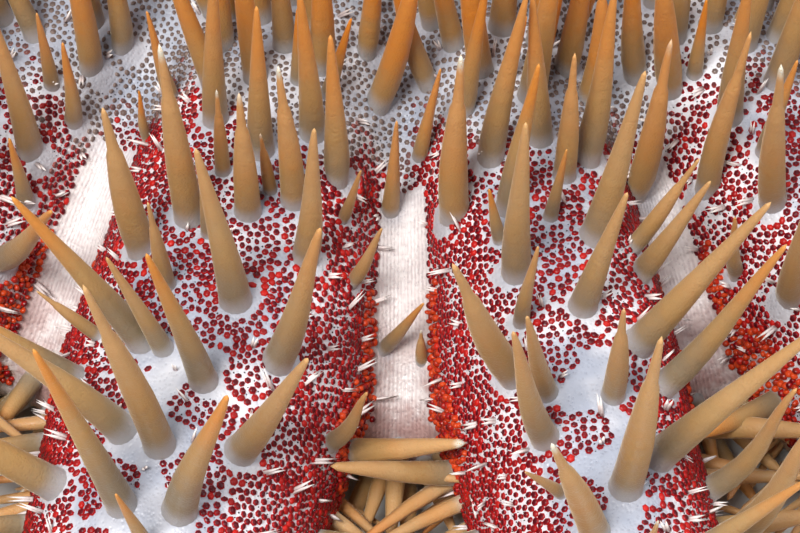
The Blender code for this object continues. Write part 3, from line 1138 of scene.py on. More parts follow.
    def make(
        self, sector: int, along: float, across: float, length: float, lean: float, thick: float
    ) -> Spine:
        """A spine at a place in a sector.

        Args:
            sector: Index of its sector.
            along: Distance out along the arm.
            across: Distance across it.
            length: Its length.
            lean: Its sideways lean, in radians.
            thick: Its thickness as a share of a grand spine's.

        Returns:
            The planned spine.
        """
        form = self.form
        axis = self.direction(sector, along, across, length, lean)
        root = form.surface_point(sector, np.array(along), np.array(across))
        zone = float(smooth(np.hypot(along, across), *self.arm_zone))
        normal = form.surface_normal(sector, along, across)
        slim = min(1.0, 0.30 + 0.72 * length / self.length) * (0.86 + 0.14 * zone)
        radius = self.radius * thick * self.chance.uniform(*self.thickness_spread) * slim
        bend = self.chance.uniform(*self.bend_spread)
        bend += self.arm_bend * float(smooth(along, self.arm_bend_from, self.arm_bend_full))
        return Spine(root, axis, normal, length, radius, zone, self.chance.random(), bend)

    def clear_of_cut(self, sector: int, along: float) -> float:
        """A spine's distance out, moved clear of the joint between the disc and the arm."""
        gap = along - self.form.rim[sector]
        if abs(gap) > self.cut_clearance:
            return along
        return float(self.form.rim[sector] + math.copysign(self.cut_clearance, gap))

    def shortening(self, share: float) -> float:
        """What share of its length a spine keeps this far out along its arm."""
        return 1 - (1 - self.tip_share) * share

    def thinning(self, share: float) -> float:
        """What share of its thickness a spine keeps this far out along its arm."""
        return 1 - self.tip_thinning * share

    def side_lean(self, along: float) -> float:
        """The sideways lean of a spine that stands at the edge of its arm."""
        rise = float(smooth(along, self.lean_start, self.lean_full))
        return self.lean_side_disc + (self.lean_side_arm - self.lean_side_disc) * rise

    def plan_solid_places(self) -> None:
        """Plans the spines that the solids carry, the listed ones up to 3 mm from their place there."""
        for radius, count in self.middle_rings:
            for k in range(count):
                turn = math.tau * k / count + radius * self.middle_twist
                outward = heading(turn)
                lean = self.lean_out_disc * radius / self.lean_start
                root = outward * radius + UP * float(self.form.back_height(radius))
                axis = outward * math.sin(lean) + UP * math.cos(lean)
                tone = self.chance.random()
                thickness = self.radius * self.middle_thickness
                self.stand(Spine(root, axis, axis, self.length, thickness, 0.0, tone), self.clearance)
        last = self.form.arm_count - 1
        front = {0: self.front_right, last: self.front_left}
        for sector in range(self.form.arm_count):
            listed = front.get(sector, ())
            for along, across, length, lean in listed:
                along = self.clear_of_cut(sector, along * MM)
                spine = self.make(sector, along, across * MM, length * MM, math.radians(lean), 1.0)
                self.stand(spine, self.near_clearance)
            for row, shares in self.rows:
                if listed and row < self.front_rows_from:
                    continue
                width = float(self.form.half_width(sector, row))
                share_out = float(self.form.share(sector, row))
                length = self.length * self.shortening(share_out)
                along = self.clear_of_cut(sector, row)
                for share in shares:
                    lean = share * self.side_lean(row)
                    thick = self.thinning(share_out)
                    spine = self.make(sector, along, share * width, length, lean, thick)
                    self.stand(spine, self.clearance)

    def plan_front_small(self) -> None:
        """Plans the short spines that stand among the front arms' grand ones."""
        last, small = self.form.arm_count - 1, self.small_thickness
        for sector, listed in ((0, self.small_right), (last, self.small_left)):
            for along, across, length, lean in listed:
                spine = self.make(sector, along * MM, across * MM, length * MM, math.radians(lean), small)
                self.stand(spine, self.near_clearance)

    def plan_between(self, filling: Filling) -> None:
        """Fills the room between the spines with a round of more of them."""
        form = self.form
        last = form.arm_count - 1
        roots = [tuple(spine.root) for spine in self.spines]
        for _ in range(filling.tries):
            sector = self.chance.randrange(form.arm_count)
            along = form.arm_reach * math.sqrt(self.chance.uniform(*self.filling_shares))
            width = float(form.half_width(sector, along))
            room = along * math.tan(form.half[sector])
            if along > form.rim[sector] and self.chance.random() > width / room:
                continue
            share = self.chance.uniform(-1.0, 1.0)
            in_front = sector in (0, last) and self.front_lists_from < along < self.front_rows_from
            if in_front or (abs(share) > self.edge_share and along > self.edge_from):
                continue
            along = self.clear_of_cut(sector, along)
            root = form.surface_point(sector, np.array(along), np.array(share * width))
            near = np.array(roots) - root
            spacing = filling.spacing * (self.crowding if along < self.crowded_within else 1.0)
            if (along_rows(near, near) < spacing**2).any():
                continue
            out = float(form.share(sector, along))
            length = self.length * self.chance.uniform(*filling.lengths) * self.shortening(out)
            lean = share * self.side_lean(along) + self.chance.gauss(0.0, self.filling_lean_spread)
            thick = filling.thick * self.thinning(out)
            spine = self.make(sector, along, share * width, length, lean, thick)
            if self.stand(spine, self.filling_gap):
                roots.append(tuple(spine.root))

    def plan(self) -> None:
        """Plans every spine of the back."""
        self.plan_solid_places()
        self.plan_front_small()
        for filling in self.fillings:
            self.plan_between(filling)


@dataclass
class Skin:
    """The one skin over the disc and the arms, in place of all the solids."""

    form: StarfishForm
    field: SpineField
    voxel: float = 0.00142
    back_share: float = 0.58
    web_shares: Span = (0.90, 1.02)
    web_radii: Span = (0.063, 0.071)
    web_ends: Span = (0.088, 0.092)
    net_shares: Span = (0.45, 0.62)
    net_radii: Span = (0.060, 0.072)
    middle_radii: Span = (0.030, 0.060)
    low_radii: Span = (0.074, 0.088)
    mouth_radii: Span = (0.006, 0.012)
    steps_per_sector: int = 14
    disc_rings: int = 56
    arm_sides: int = 44
    arm_rings: int = 48
    overlap: float = 0.016
    root_height: float = 0.012
    root_narrowing: float = 0.55
    root_lowering: float = 0.12
    sole_rise: float = 0.0014
    sole_roughness: float = 0.0004
    foot_height: float = 0.0007
    foot_radius: float = 0.0030

    def shaped_ball(self, name: str, around: int, rings: int, shape: Callable) -> bpy.types.Object:
        """A ball whose every point is moved by shape(share from pole to pole, step around)."""
        clear_selection()
        bpy.ops.mesh.primitive_uv_sphere_add(segments=around, ring_count=rings, radius=1.0)
        ball = bpy.context.active_object
        ball.name = name
        points = vertex_points(ball.data)
        share = np.round(np.arccos(np.clip(points[:, 2], -1, 1)) / math.pi * rings) / rings
        step = np.mod(np.round(np.arctan2(points[:, 1], points[:, 0]) / math.tau * around), around)
        moved = shape(share, step.astype(int))
        ball.data.vertices.foreach_set("co", moved.astype(np.float32).ravel())
        ball.data.update()
        return ball

    def disc_shape(self, share: np.ndarray, step: np.ndarray) -> np.ndarray:
        """The disc's points: its back, its rim and its underside with furrows and a mouth."""
        form = self.form
        sector = step // self.steps_per_sector
        offset = 2 * (step % self.steps_per_sector) / self.steps_per_sector - 1
        back = share < self.back_share
        over = np.sin(share / self.back_share * math.pi / 2) ** 0.9
        below = np.sin((1 - share) / (1 - self.back_share) * math.pi / 2)
        reach = np.clip(np.where(back, over, below), 0.0, 1.0)
        along = reach * form.rim[sector]
        across = along * np.tan(offset * form.half[sector])
        top = form.disc_height(sector, np.maximum(along, 1e-6), across)
        radius = np.hypot(along, across)
        furrow = form.furrow_depth * (1 - smooth(np.abs(across), 0.0012, 0.0030))
        furrow = furrow * smooth(radius, 0.004, 0.010)
        seam = 0.002 * smooth(np.abs(offset), 0.75, 1.0) * smooth(radius, 0.03, 0.08)
        mouth = form.mouth_depth * (1 - smooth(radius, 0.003, 0.011))
        low = form.sole_height + self.sole_rise * 0.5 + np.maximum(np.maximum(furrow, seam), mouth)
        low = np.where(reach > 0.999, np.maximum(low, 0.004), low)
        return form.place(sector, along, across, np.where(back, top, low))

    def arm_shape(self, sector: int) -> Callable:
        """The function that gives one arm's points, its root reaching into the disc."""
        form = self.form

        def shape(share: np.ndarray, step: np.ndarray) -> np.ndarray:
            """One arm's points, from inside the disc to the tip."""
            spread = np.clip((share - 0.02) / 0.96, 0.0, 1.0)
            reach = np.sin(spread * math.pi / 2) ** 0.9
            whole = form.length[sector] + self.overlap
            out = reach * whole - self.overlap
            own = np.full(share.shape, sector)
            share_out = np.clip(out / form.length[sector], 0.0, 1.0)
            points = form.arm_point(own, share_out, step / self.arm_sides * math.tau)
            inside = np.minimum(out, 0.0)
            depth = inside / self.overlap
            line, beside = form.out(sector), form.aside(sector)
            narrowed = (points @ beside) * self.root_narrowing * depth
            points = points + line * inside[:, None] + beside * narrowed[:, None]
            points[:, 2] = points[:, 2] * (1 + self.root_lowering * depth)
            tip = share >= 1.0
            end = form.root[sector] + np.where(tip, form.length[sector], -self.overlap)
            bend = np.where(tip, form.bend[sector], 0.0)
            height = np.where(tip, form.arm_side_height(1.0) + form.tip_lift, self.root_height)
            pole = tip | (share <= 0.0)
            return np.where(pole[:, None], form.place(own, end, bend, height), points)

        return shape

    def raise_feet(self, skin: bpy.types.Object) -> None:
        """Raises the skin round every spine's root and lifts the soles a little."""
        points, normals = vertex_points(skin.data), vertex_normals(skin.data)
        tree = search_tree([spine.root for spine in self.field.spines])
        lift = np.zeros(len(points))
        foot = np.zeros(len(points))
        for index, point in enumerate(points):
            _, nearest, distance = tree.find(point)
            if distance < 2 * self.foot_radius:
                spine = self.field.spines[nearest]
                size = spine.radius / self.field.radius
                near = math.exp(-((distance / (self.foot_radius * size)) ** 2))
                lift[index] = self.foot_height * size * near
                foot[index] = near
        points += normals * lift[:, None]
        low = points[:, 2] < self.sole_rise + self.sole_roughness
        points[low, 2] = np.maximum(points[low, 2], self.sole_rise)
        skin.data.vertices.foreach_set("co", points.astype(np.float32).ravel())
        skin.data.update()
        # The foot mask tells the skin's material where to paint the shade round each spine's root
        set_values(skin.data, "foot", foot)

    def mark(self, skin: bpy.types.Object) -> None:
        """Gives the skin the masks that its material reads."""
        form = self.form
        points, normals = vertex_points(skin.data), vertex_normals(skin.data)
        sector, along, across = form.locate(points)
        radius = np.hypot(points[:, 0], points[:, 1])
        share = form.share_across(sector, along, across)
        under = smooth(-normals[:, 2], 0.05, 0.45) * (1 - smooth(points[:, 2], 0.010, 0.014))
        web = smooth(share, *self.web_shares) * smooth(radius, *self.web_radii)
        web = web * (1 - smooth(along, *self.web_ends))
        papular = smooth(share, *self.net_shares) * (1 - smooth(share, 0.96, 1.0))
        papular = papular * smooth(radius, *self.net_radii)
        masks = {
            "under": under,
            "web": web,
            "papular": papular * (1 - under),
            "middle": 1 - smooth(radius, *self.middle_radii),
            "low": smooth(radius, *self.low_radii),
            "mouth": (1 - smooth(radius, *self.mouth_radii)) * under,
        }
        for name, values in masks.items():
            set_values(skin.data, name, values)

    def build(self, material: bpy.types.Material) -> bpy.types.Object:
        """The skin, joined from the disc and the arms and drawn into one surface.

        Args:
            material: The skin's material.

        Returns:
            The skin's object.
        """
        form = self.form
        around = form.arm_count * self.steps_per_sector
        balls = [self.shaped_ball("skin", around, self.disc_rings, self.disc_shape)]
        for sector in range(form.arm_count):
            shape = self.arm_shape(sector)
            balls.append(self.shaped_ball(f"arm_{sector}", self.arm_sides, self.arm_rings, shape))
        clear_selection()
        for ball in balls:
            ball.select_set(True)
        skin = balls[0]
        bpy.context.view_layer.objects.active = skin
        bpy.ops.object.join()
        bpy.ops.object.mode_set(mode="EDIT")
        bpy.ops.mesh.select_all(action="SELECT")
        bpy.ops.mesh.normals_make_consistent(inside=False)
        bpy.ops.object.mode_set(mode="OBJECT")
        remesh = skin.modifiers.new("one_surface", "REMESH")
        remesh.mode = "VOXEL"
        remesh.voxel_size = self.voxel
        bpy.ops.object.modifier_apply(modifier=remesh.name)
        soften = skin.modifiers.new("soften", "SMOOTH")
        soften.factor = 0.5
        soften.iterations = 5
        bpy.ops.object.modifier_apply(modifier=soften.name)
        self.raise_feet(skin)
        self.mark(skin)
        skin.data.shade_smooth()
        skin.data.materials.clear()
        skin.data.materials.append(material)
        return skin


@dataclass
class Surface:
    """The finished skin, as something to set small things on."""

    skin: bpy.types.Object

    def __post_init__(self) -> None:
        """Keeps the skin's triangles and a tree to find places on it."""
        mesh = self.skin.data
        mesh.calc_loop_triangles()
        self.points = vertex_points(mesh)
        corners = np.empty(len(mesh.loop_triangles) * 3, dtype=np.int32)
        mesh.loop_triangles.foreach_get("vertices", corners)
        self.corners = corners.reshape(-1, 3)
        self.normals = vertex_normals(mesh).astype(float)
        self.tree = BVHTree.FromPolygons(self.points.tolist(), self.corners.tolist())

    def scatter(self, count: int, seed: int, where: Callable | None = None) -> tuple[np.ndarray, np.ndarray]:
        """Random places spread evenly over the skin, or over part of it.

        Args:
            count: How many places.
            seed: The seed of the draw.
            where: Tells for points whether they are in the part.

        Returns:
            The places and the skin's normals there.
        """
        chance = np.random.default_rng(seed)
        a, b, c = (self.points[self.corners[:, k]] for k in range(3))
        area = np.linalg.norm(np.cross(b - a, c - a), axis=1)
        if where is not None:
            area = area * where((a + b + c) / 3)
        chosen = chance.choice(len(area), size=count, p=area / area.sum())
        u, v = chance.random(count), chance.random(count)
        over = u + v > 1
        u[over], v[over] = 1 - u[over], 1 - v[over]
        face = self.corners[chosen]
        place, normal = (
            sum(values[face[:, k]] * weight[:, None] for k, weight in enumerate((1 - u - v, u, v)))
            for values in (self.points, self.normals)
        )
        return place, unit(normal)

    def settle(self, point: np.ndarray) -> tuple[np.ndarray, np.ndarray]:
        """The nearest place on the skin to a point, and the skin's normal there."""
        place, normal, _, _ = self.tree.find_nearest(Vector(point))
        return np.array(place), np.array(normal)


@dataclass
class Crowd:
    """Keeps small things apart, however many rounds of them are added."""

    cell: float
    taken: dict = field(default_factory=dict)

    def pick(self, points: np.ndarray, gaps: np.ndarray) -> np.ndarray:
        """Takes points in order, leaving out each one that is too near to one already taken.

        Args:
            points: One point to a row.
            gaps: Each point's least distance to those taken before it, at most the cell's size.

        Returns:
            The indices of the points taken.
        """
        around = [(i, j, k) for i in (-1, 0, 1) for j in (-1, 0, 1) for k in (-1, 0, 1)]
        cells = np.floor(points / self.cell).astype(int).tolist()
        places, limits = points.tolist(), (gaps**2).tolist()
        picked = []
        for index, (x, y, z) in enumerate(places):
            i, j, k = cells[index]
            limit = limits[index]
            near = (spot for di, dj, dk in around for spot in self.taken.get((i + di, j + dj, k + dk), ()))
            if all((px - x) ** 2 + (py - y) ** 2 + (pz - z) ** 2 >= limit for px, py, pz in near):
                self.taken.setdefault((i, j, k), []).append((x, y, z))
                picked.append(index)
        return np.array(picked, dtype=int)


def spread_out(points: np.ndarray, normals: np.ndarray, gap: float, rounds: int) -> np.ndarray:
    """Points pushed apart along the skin till they lie evenly.

    Args:
        points: One point to a row.
        normals: The skin's normals there.
        gap: The distance that neighbours are pushed to.
        rounds: How often they are pushed.

    Returns:
        The moved points.
    """
    tree = search_tree(points)
    found = (tree.find_n(point, NEIGHBOURS + 1) for point in points)
    neighbours = np.array([[index for _, index, _ in nearest][1:] for nearest in found])
    for _ in range(rounds):
        away = points[:, None, :] - points[neighbours]
        apart = np.linalg.norm(away, axis=2)
        push = np.maximum(0.0, gap - apart) * PUSH_SHARE
        move = (away / np.maximum(apart, 1e-9)[..., None] * push[..., None]).sum(axis=1)
        points = points + move - normals * along_rows(move, normals)[:, None]
    return points


def nearest_two(points: np.ndarray, centres: np.ndarray) -> tuple[np.ndarray, np.ndarray, np.ndarray]:
    """Each point's two nearest centres.

    Args:
        points: One point to a row.
        centres: One centre to a row.

    Returns:
        The nearest centre's index, its distance, and the second nearest one's distance.
    """
    tree = search_tree(centres)
    found = [tree.find_n(point, 2) for point in points]
    index = np.array([pair[0][1] for pair in found])
    first = np.array([pair[0][2] for pair in found])
    second = np.array([pair[1][2] for pair in found])
    return index, first, second


@dataclass
class PapulaCoat:
    """The papulae of the back: a dense net on the flanks and rosettes along the backs."""

    form: StarfishForm
    field: SpineField
    surface: Surface
    near_candidates: int = 340_000
    far_candidates: int = 330_000
    dot_candidates: int = 150_000
    rosette_candidates: int = 60_000
    # The seeds of each kind's places and of its looks
    near_seeds: tuple[int, int] = (11, 23)
    far_seeds: tuple[int, int] = (19, 43)
    dot_seeds: tuple[int, int] = (13, 29)
    rosette_seed: int = 5
    near_spacing: float = 0.00057
    far_spacing: float = 0.00106
    evenness: float = 1.28
    evening_rounds: int = 5
    heart_spread: float = 0.10
    spread_radii: Span = (0.058, 0.070)
    red_radii: Span = (0.064, 0.070)
    red_spread: float = 0.0012
    finger_share: float = 0.93
    fingers_from: float = 0.077
    fingers_to: float = 0.094
    dot_spacing: float = 0.00046
    rosette_spacing: float = 0.0052
    channel: float = 0.00030
    flank_channel: float = 0.00004
    crest_reach: float = 0.0021
    crest_share: float = 0.55
    crest_from: float = 0.092
    crest_seed: int = 17
    middle_within: float = 0.066
    flank_from: float = 0.55
    valley_from: float = 0.0675
    arms_from: float = 0.062
    bare_round_spine: float = 0.0006
    fill: float = 0.60
    least_radius: float = 0.00022
    most_radius: float = 0.00042
    dot_radius: float = 0.00015
    dot_heart: float = 0.80
    dots_from: float = 0.056
    height: float = 0.00026
    view_half_width: float = 0.047
    view_y: Span = (-0.113, -0.042)
    view_floor: float = 0.006
    side_floor: float = 0.004
    dome_near: tuple = ((-0.35, 0.92), (0.45, 1.00), (0.88, 0.66), (1.0, 0.02))
    dome_far: tuple = ((-0.35, 0.98), (0.55, 0.92), (1.0, 0.02))
    dot_dome: tuple = ((-0.5, 1.0), (1.0, 0.02))

    def in_view(self, points: np.ndarray) -> np.ndarray:
        """Which points lie on the two front arms and the disc behind them."""
        x, y, z = points.T
        near, far = self.view_y
        return (np.abs(x) < self.view_half_width) & (y < far) & (y > near) & (z > self.view_floor)

    def out_of_view(self, points: np.ndarray) -> np.ndarray:
        """Which points lie on the rest of the back."""
        return ~self.in_view(points) & (points[:, 2] > self.side_floor)

    def settle(self, points: np.ndarray, normals: np.ndarray) -> dict[str, np.ndarray]:
        """Leaves out the bare places, and tells where in its rosette each other place lies.

        Args:
            points: Candidate places.
            normals: The skin's normals there.

        Returns:
            The kept places with their normals and measures, by name.
        """
        form = self.form
        sector, along, across = form.locate(points)
        radius = np.hypot(points[:, 0], points[:, 1])
        share = form.share_across(sector, along, across)
        edge_height = form.arm_side_height(form.share(sector, along)) * 0.62
        above = points[:, 2] > np.where(along > form.rim[sector], edge_height, 0.006)
        keep = above & (normals[:, 2] > -0.45) & ~((share > 1.0) & (radius > self.valley_from))
        given = {"point": points, "normal": normals, "along": along, "radius": radius, "share": share}
        given = {name: values[keep] for name, values in given.items()}
        roots = np.array([spine.root for spine in self.field.spines])
        thickness = np.array([spine.radius for spine in self.field.spines])
        spine, distance, _ = nearest_two(given["point"], roots)
        room = distance - thickness[spine]
        rosette, first, second = nearest_two(given["point"], self.rosettes())
        border = (second - first) / 2
        outer = given["radius"] > self.arms_from
        channel = np.where(given["share"] > self.flank_from, self.flank_channel, self.channel)
        channel = np.where(outer, channel, self.channel * 0.5)
        draws = np.random.default_rng(self.crest_seed).random(rosette.max() + 1)
        stays = draws[rosette] < self.crest_share
        crest_width = 0.30 + 0.10 * np.sin(given["along"] * 1900)
        crest = (given["along"] > self.crest_from) & (given["share"] < crest_width)
        bare = room < self.bare_round_spine * (0.4 + thickness[spine] / self.field.radius * 0.6)
        bare |= border < channel
        bare |= crest & (~stays | (first > self.crest_reach))
        given["heart"] = first / np.maximum(first + border, 1e-9)
        return {name: values[~bare] for name, values in given.items()}

    def rosettes(self) -> np.ndarray:
        """The middles of the rosettes, the same each time."""
        centres, _ = self.surface.scatter(self.rosette_candidates, self.rosette_seed)
        picked = Crowd(self.rosette_spacing).pick(centres, np.full(len(centres), self.rosette_spacing))
        return centres[picked]

    def papulae(self, given: dict[str, np.ndarray], spacing: float, crowd: Crowd, seed: int) -> Placements:
        """Sets papulae at the places, apart from one another.

        Args:
            given: The places, from settle.
            spacing: The least distance between two papulae's middles.
            crowd: What keeps them apart.
            seed: The seed of their sizes and tones.

        Returns:
            The papulae.
        """
        outer = smooth(given["radius"], *self.spread_radii)
        gaps = spacing * (1 + self.heart_spread * (1 - smooth(given["heart"], 0.3, 0.7)) * outer)
        taken = crowd.pick(given["point"], gaps)
        given = {name: values[taken] for name, values in given.items()}
        gap = spacing * self.evenness
        given["point"] = spread_out(given["point"], given["normal"], gap, self.evening_rounds)
        chance = np.random.default_rng(seed)
        count = len(taken)
        point, radius, share = given["point"], given["radius"], given["share"]
        sway = 0.003 * np.sin(point[:, 0] * 260 + 1.0) + 0.002 * np.sin(point[:, 0] * 900 + point[:, 1] * 400)
        reddened = smooth(radius + sway + chance.normal(0, self.red_spread, count), *self.red_radii)
        fingered = (share > self.finger_share) & (radius > self.fingers_from)
        fingered &= given["along"] < self.fingers_to
        zone = reddened + fingered * chance.uniform(0.0, 0.9, count)
        outward = smooth(given["heart"], 0.35, 1.0)
        _, _, apart = nearest_two(point, point)
        most = self.most_radius * spacing / self.near_spacing
        size = np.clip(apart * self.fill, self.least_radius, most) * chance.uniform(0.90, 1.08, count)
        size = size * (0.84 + 0.16 * outward) * (0.76 + 0.24 * reddened)
        tone = np.clip(0.55 * outward**2 * chance.random(count) + 0.45 * chance.random(count) ** 3, 0, 1)
        tall = np.where(fingered, 1.9, 1.0) * chance.uniform(0.8, 1.3, count)
        return Placements(
            point, given["normal"], given["normal"], self.height * tall, size,
            chance.uniform(0.66, 1.0, count), np.zeros(count), tone, zone,
        )

    def dots(self, crowd: Crowd) -> Placements:
        """The tiny dark papulae that fill the rosettes' middles."""
        places_seed, looks_seed = self.dot_seeds
        points, normals = self.surface.scatter(self.dot_candidates, places_seed, self.in_view)
        given = self.settle(points, normals)
        inner = (given["heart"] < self.dot_heart) & (given["radius"] > self.dots_from)
        given = {name: values[inner] for name, values in given.items()}
        taken = crowd.pick(given["point"], np.full(len(given["point"]), self.dot_spacing))
        count = len(taken)
        chance = np.random.default_rng(looks_seed)
        return Placements(
            given["point"][taken], given["normal"][taken], given["normal"][taken],
            np.full(count, self.height * 0.6), self.dot_radius * chance.uniform(0.7, 1.25, count),
            chance.uniform(0.6, 1.0, count), np.zeros(count), chance.random(count), np.full(count, -1.0),
        )

    def build(self, material: bpy.types.Material) -> list[bpy.types.Object]:
        """The papulae as joined meshes, finer where they are seen from near.

        Args:
            material: Their material.

        Returns:
            The objects.
        """
        crowd = Crowd(self.near_spacing * (1 + self.heart_spread))
        places_seed, looks_seed = self.near_seeds
        points, normals = self.surface.scatter(self.near_candidates, places_seed, self.in_view)
        near = self.papulae(self.settle(points, normals), self.near_spacing, crowd, looks_seed)
        fine = turned_form(6, self.dome_near, False)
        left = near.root[:, 0] < 0
        pieces = [
            ("papulae_front_left", fine, near.part(left)),
            ("papulae_front_right", fine, near.part(~left)),
            ("papula_dots", turned_form(4, self.dot_dome, False), self.dots(crowd)),
        ]
        places_seed, looks_seed = self.far_seeds
        points, normals = self.surface.scatter(self.far_candidates, places_seed, self.out_of_view)
        crowd = Crowd(self.far_spacing * (1 + self.heart_spread))
        far = self.papulae(self.settle(points, normals), self.far_spacing, crowd, looks_seed)
        plain = turned_form(6, self.dome_far, False)
        turn = np.arctan2(far.root[:, 1], far.root[:, 0])
        inner = np.hypot(far.root[:, 0], far.root[:, 1]) < self.middle_within
        pieces.append(("papulae_middle", plain, far.part(inner)))
        for quarter in range(4):
            low = -math.pi + quarter * math.pi / 2
            chosen = ~inner & (turn >= low) & (turn < low + math.pi / 2)
            pieces.append((f"papulae_quarter_{quarter + 1}", plain, far.part(chosen)))
        return [join_copies(name, form, spots, 0.003, material) for name, form, spots in pieces]


@dataclass
class BristleCoat:
    """White two-bladed pincer bristles, scattered among the papulae."""

    form: StarfishForm
    surface: Surface
    candidates: int = 40_000
    # The seeds of the bristles' places and of their looks
    seeds: tuple[int, int] = (31, 37)
    spacing: float = 0.0040
    length: float = 0.0023
    radius: float = 0.00017
    disorder: float = 0.36
    blade_spread: float = 0.7
    blade_shift: float = 0.6
    blade: tuple = ((-0.12, 1.2), (0.40, 0.90), (1.0, 0.05))

    def build(self, material: bpy.types.Material) -> bpy.types.Object:
        """The bristles as one joined mesh.

        Args:
            material: Their material.

        Returns:
            The object.
        """
        places_seed, looks_seed = self.seeds
        points, normals = self.surface.scatter(self.candidates, places_seed)
        sector, along, across = self.form.locate(points)
        share = self.form.share_across(sector, along, across)
        radius = np.hypot(points[:, 0], points[:, 1])
        chance = np.random.default_rng(looks_seed)
        likely = np.where(share > 0.5, 1.0, 0.25) * np.where(radius > 0.060, 1.0, 0.8)
        keep = (points[:, 2] > 0.010) & (normals[:, 2] > -0.2) & (share < 1.02)
        keep &= chance.random(len(points)) < likely * 0.6
        points, normals = points[keep], normals[keep]
        chosen = Crowd(self.spacing).pick(points, self.spacing * chance.uniform(0.6, 1.0, len(points)))
        points, normals = points[chosen], normals[chosen]
        count = len(points)
        axis = unit(normals + chance.normal(0.0, self.disorder, (count, 3)))
        spots = Placements(
            points, axis, normals, self.length * chance.uniform(0.55, 1.25, count),
            self.radius * chance.uniform(0.8, 1.25, count), np.ones(count), np.zeros(count),
            chance.random(count), np.ones(count),
        )
        form = split_form(turned_form(4, self.blade, True), self.blade_spread, self.blade_shift)
        return join_copies("pincer_bristles", form, spots, 0.003, material)


@dataclass
class SpineCoat:
    """The spines of the back as joined meshes."""

    field: SpineField
    surface: Surface
    sink: float = 0.07
    sheath_share: float = 0.75
    front_half_width: float = 0.055
    front_y: Span = (-0.125, -0.040)
    tapered: tuple = (
        (0.0, 1.26), (0.045, 1.12), (0.09, 1.02), (0.18, 0.96), (0.32, 0.85), (0.48, 0.70),
        (0.63, 0.55), (0.77, 0.41), (0.90, 0.27), (0.975, 0.16), (1.0, 0.03),
    )
    sheathed: tuple = (
        (0.0, 1.28), (0.045, 1.13), (0.09, 1.04), (0.18, 1.00), (0.34, 0.94), (0.50, 0.80),
        (0.64, 0.61), (0.70, 0.52), (0.73, 0.38), (0.84, 0.30), (0.96, 0.18), (1.0, 0.04),
    )

    def in_front(self, spine: Spine) -> bool:
        """Whether a spine stands where the camera sees it from near."""
        x, y, _ = spine.root
        return bool(abs(x) < self.front_half_width and self.front_y[0] < y < self.front_y[1])

    def build(self, material: bpy.types.Material) -> list[bpy.types.Object]:
        """The spines, in groups by their form and size.

        Args:
            material: The sheath's material.

        Returns:
            The objects.
        """
        groups = {}
        for spine in self.field.spines:
            kind = (self.in_front(spine), spine.tone >= self.sheath_share)
            groups.setdefault(kind, []).append(spine.row(self.surface, self.sink))
        built = []
        for front, place, sides in ((True, "front", 16), (False, "back", 8)):
            for sheathed, ending, profile in ((False, "", self.tapered), (True, "_sheathed", self.sheathed)):
                spots = Placements.of(groups[front, sheathed])
                form = turned_form(sides, profile, True)
                built.append(join_copies(f"spines_{place}{ending}", form, spots, 0.008, material))
        return built


@dataclass(frozen=True)
class FringeRow:
    """One row of the spines along an arm's side."""

    level: float
    rise: float
    pitch: float
    length: float
    radius: float


